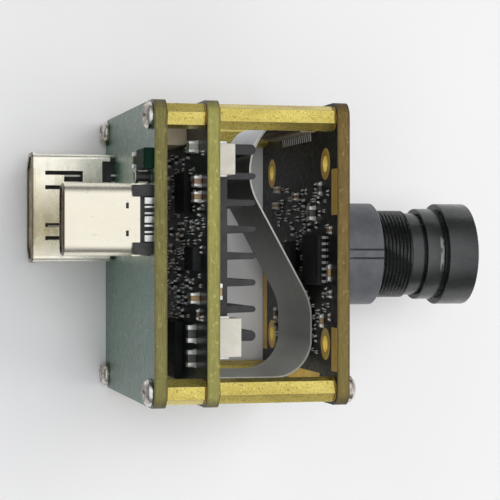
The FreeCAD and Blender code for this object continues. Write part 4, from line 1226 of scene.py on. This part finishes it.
def makeFloor():
    bm = bmesh.new()
    size = studio["floorSize"]
    outline = [(-size, -size), (size, -size), (size, size), (-size, size)]
    bm.faces.new([bm.verts.new((x, y, -studio["floorDrop"] * mm)) for x, y in outline])
    floor = placed("floor", bm)
    m = Sheet("floorPaper", (0.84, 0.84, 0.85), 0.8)
    m.color(m.blend(m.patches(30, 0.3, 0.7), *studio["paper"]))
    floor.data.materials.append(m.mat)


def makeLight(name, place, size, power, color):
    data = bpy.data.lights.new(name, "AREA")
    data.shape = "DISK"
    data.size = size
    data.energy = power
    data.color = color
    lamp = bpy.data.objects.new(name, data)
    scene.collection.objects.link(lamp)
    lamp.location = place
    lamp.rotation_euler = (Vector(studio["aim"]) - Vector(place)).to_track_quat("-Z", "Y").to_euler()
    lamp.visible_glossy = False


def makeWorld():
    # A plain pale backdrop to the camera, a ramp that is brighter overhead in mirrors and glass, and even
    # soft light on all the rest
    world = bpy.data.worlds.new("studio")
    world.use_nodes = True
    scene.world = world
    tree = world.node_tree
    add = tree.nodes.new
    link = tree.links.new

    def background(color, strength=1.0):
        node = add("ShaderNodeBackground")
        node.inputs["Color"].default_value = (*color, 1)
        node.inputs["Strength"].default_value = strength
        return node

    even = background(studio["ambient"][1], studio["ambient"][0])
    mirrored = background(studio["mirrored"])
    plain = background(studio["backdrop"])
    split = add("ShaderNodeSeparateXYZ")
    link(add("ShaderNodeTexCoord").outputs["Generated"], split.inputs[0])
    ramp = add("ShaderNodeMapRange")
    ramp.interpolation_type = "SMOOTHSTEP"
    for end, key in (("Min", "horizon"), ("Max", "zenith")):
        ramp.inputs["From " + end].default_value = studio[key][0]
        ramp.inputs["To " + end].default_value = studio[key][1]
    link(split.outputs["Z"], ramp.inputs["Value"])
    link(ramp.outputs["Result"], mirrored.inputs["Strength"])
    path = add("ShaderNodeLightPath")
    either = add("ShaderNodeMath")
    either.operation = "MAXIMUM"
    link(path.outputs["Is Glossy Ray"], either.inputs[0])
    link(path.outputs["Is Transmission Ray"], either.inputs[1])
    seen = even
    for factor, other in ((either.outputs[0], mirrored), (path.outputs["Is Camera Ray"], plain)):
        mix = add("ShaderNodeMixShader")
        link(factor, mix.inputs[0])
        link(seen.outputs[0], mix.inputs[1])
        link(other.outputs[0], mix.inputs[2])
        seen = mix
    link(seen.outputs[0], tree.nodes["World Output"].inputs["Surface"])


makeFloor()
makeWorld()
for lampName, lamp in lamps.items():
    makeLight(lampName + "Light", **lamp)
print("stage light")
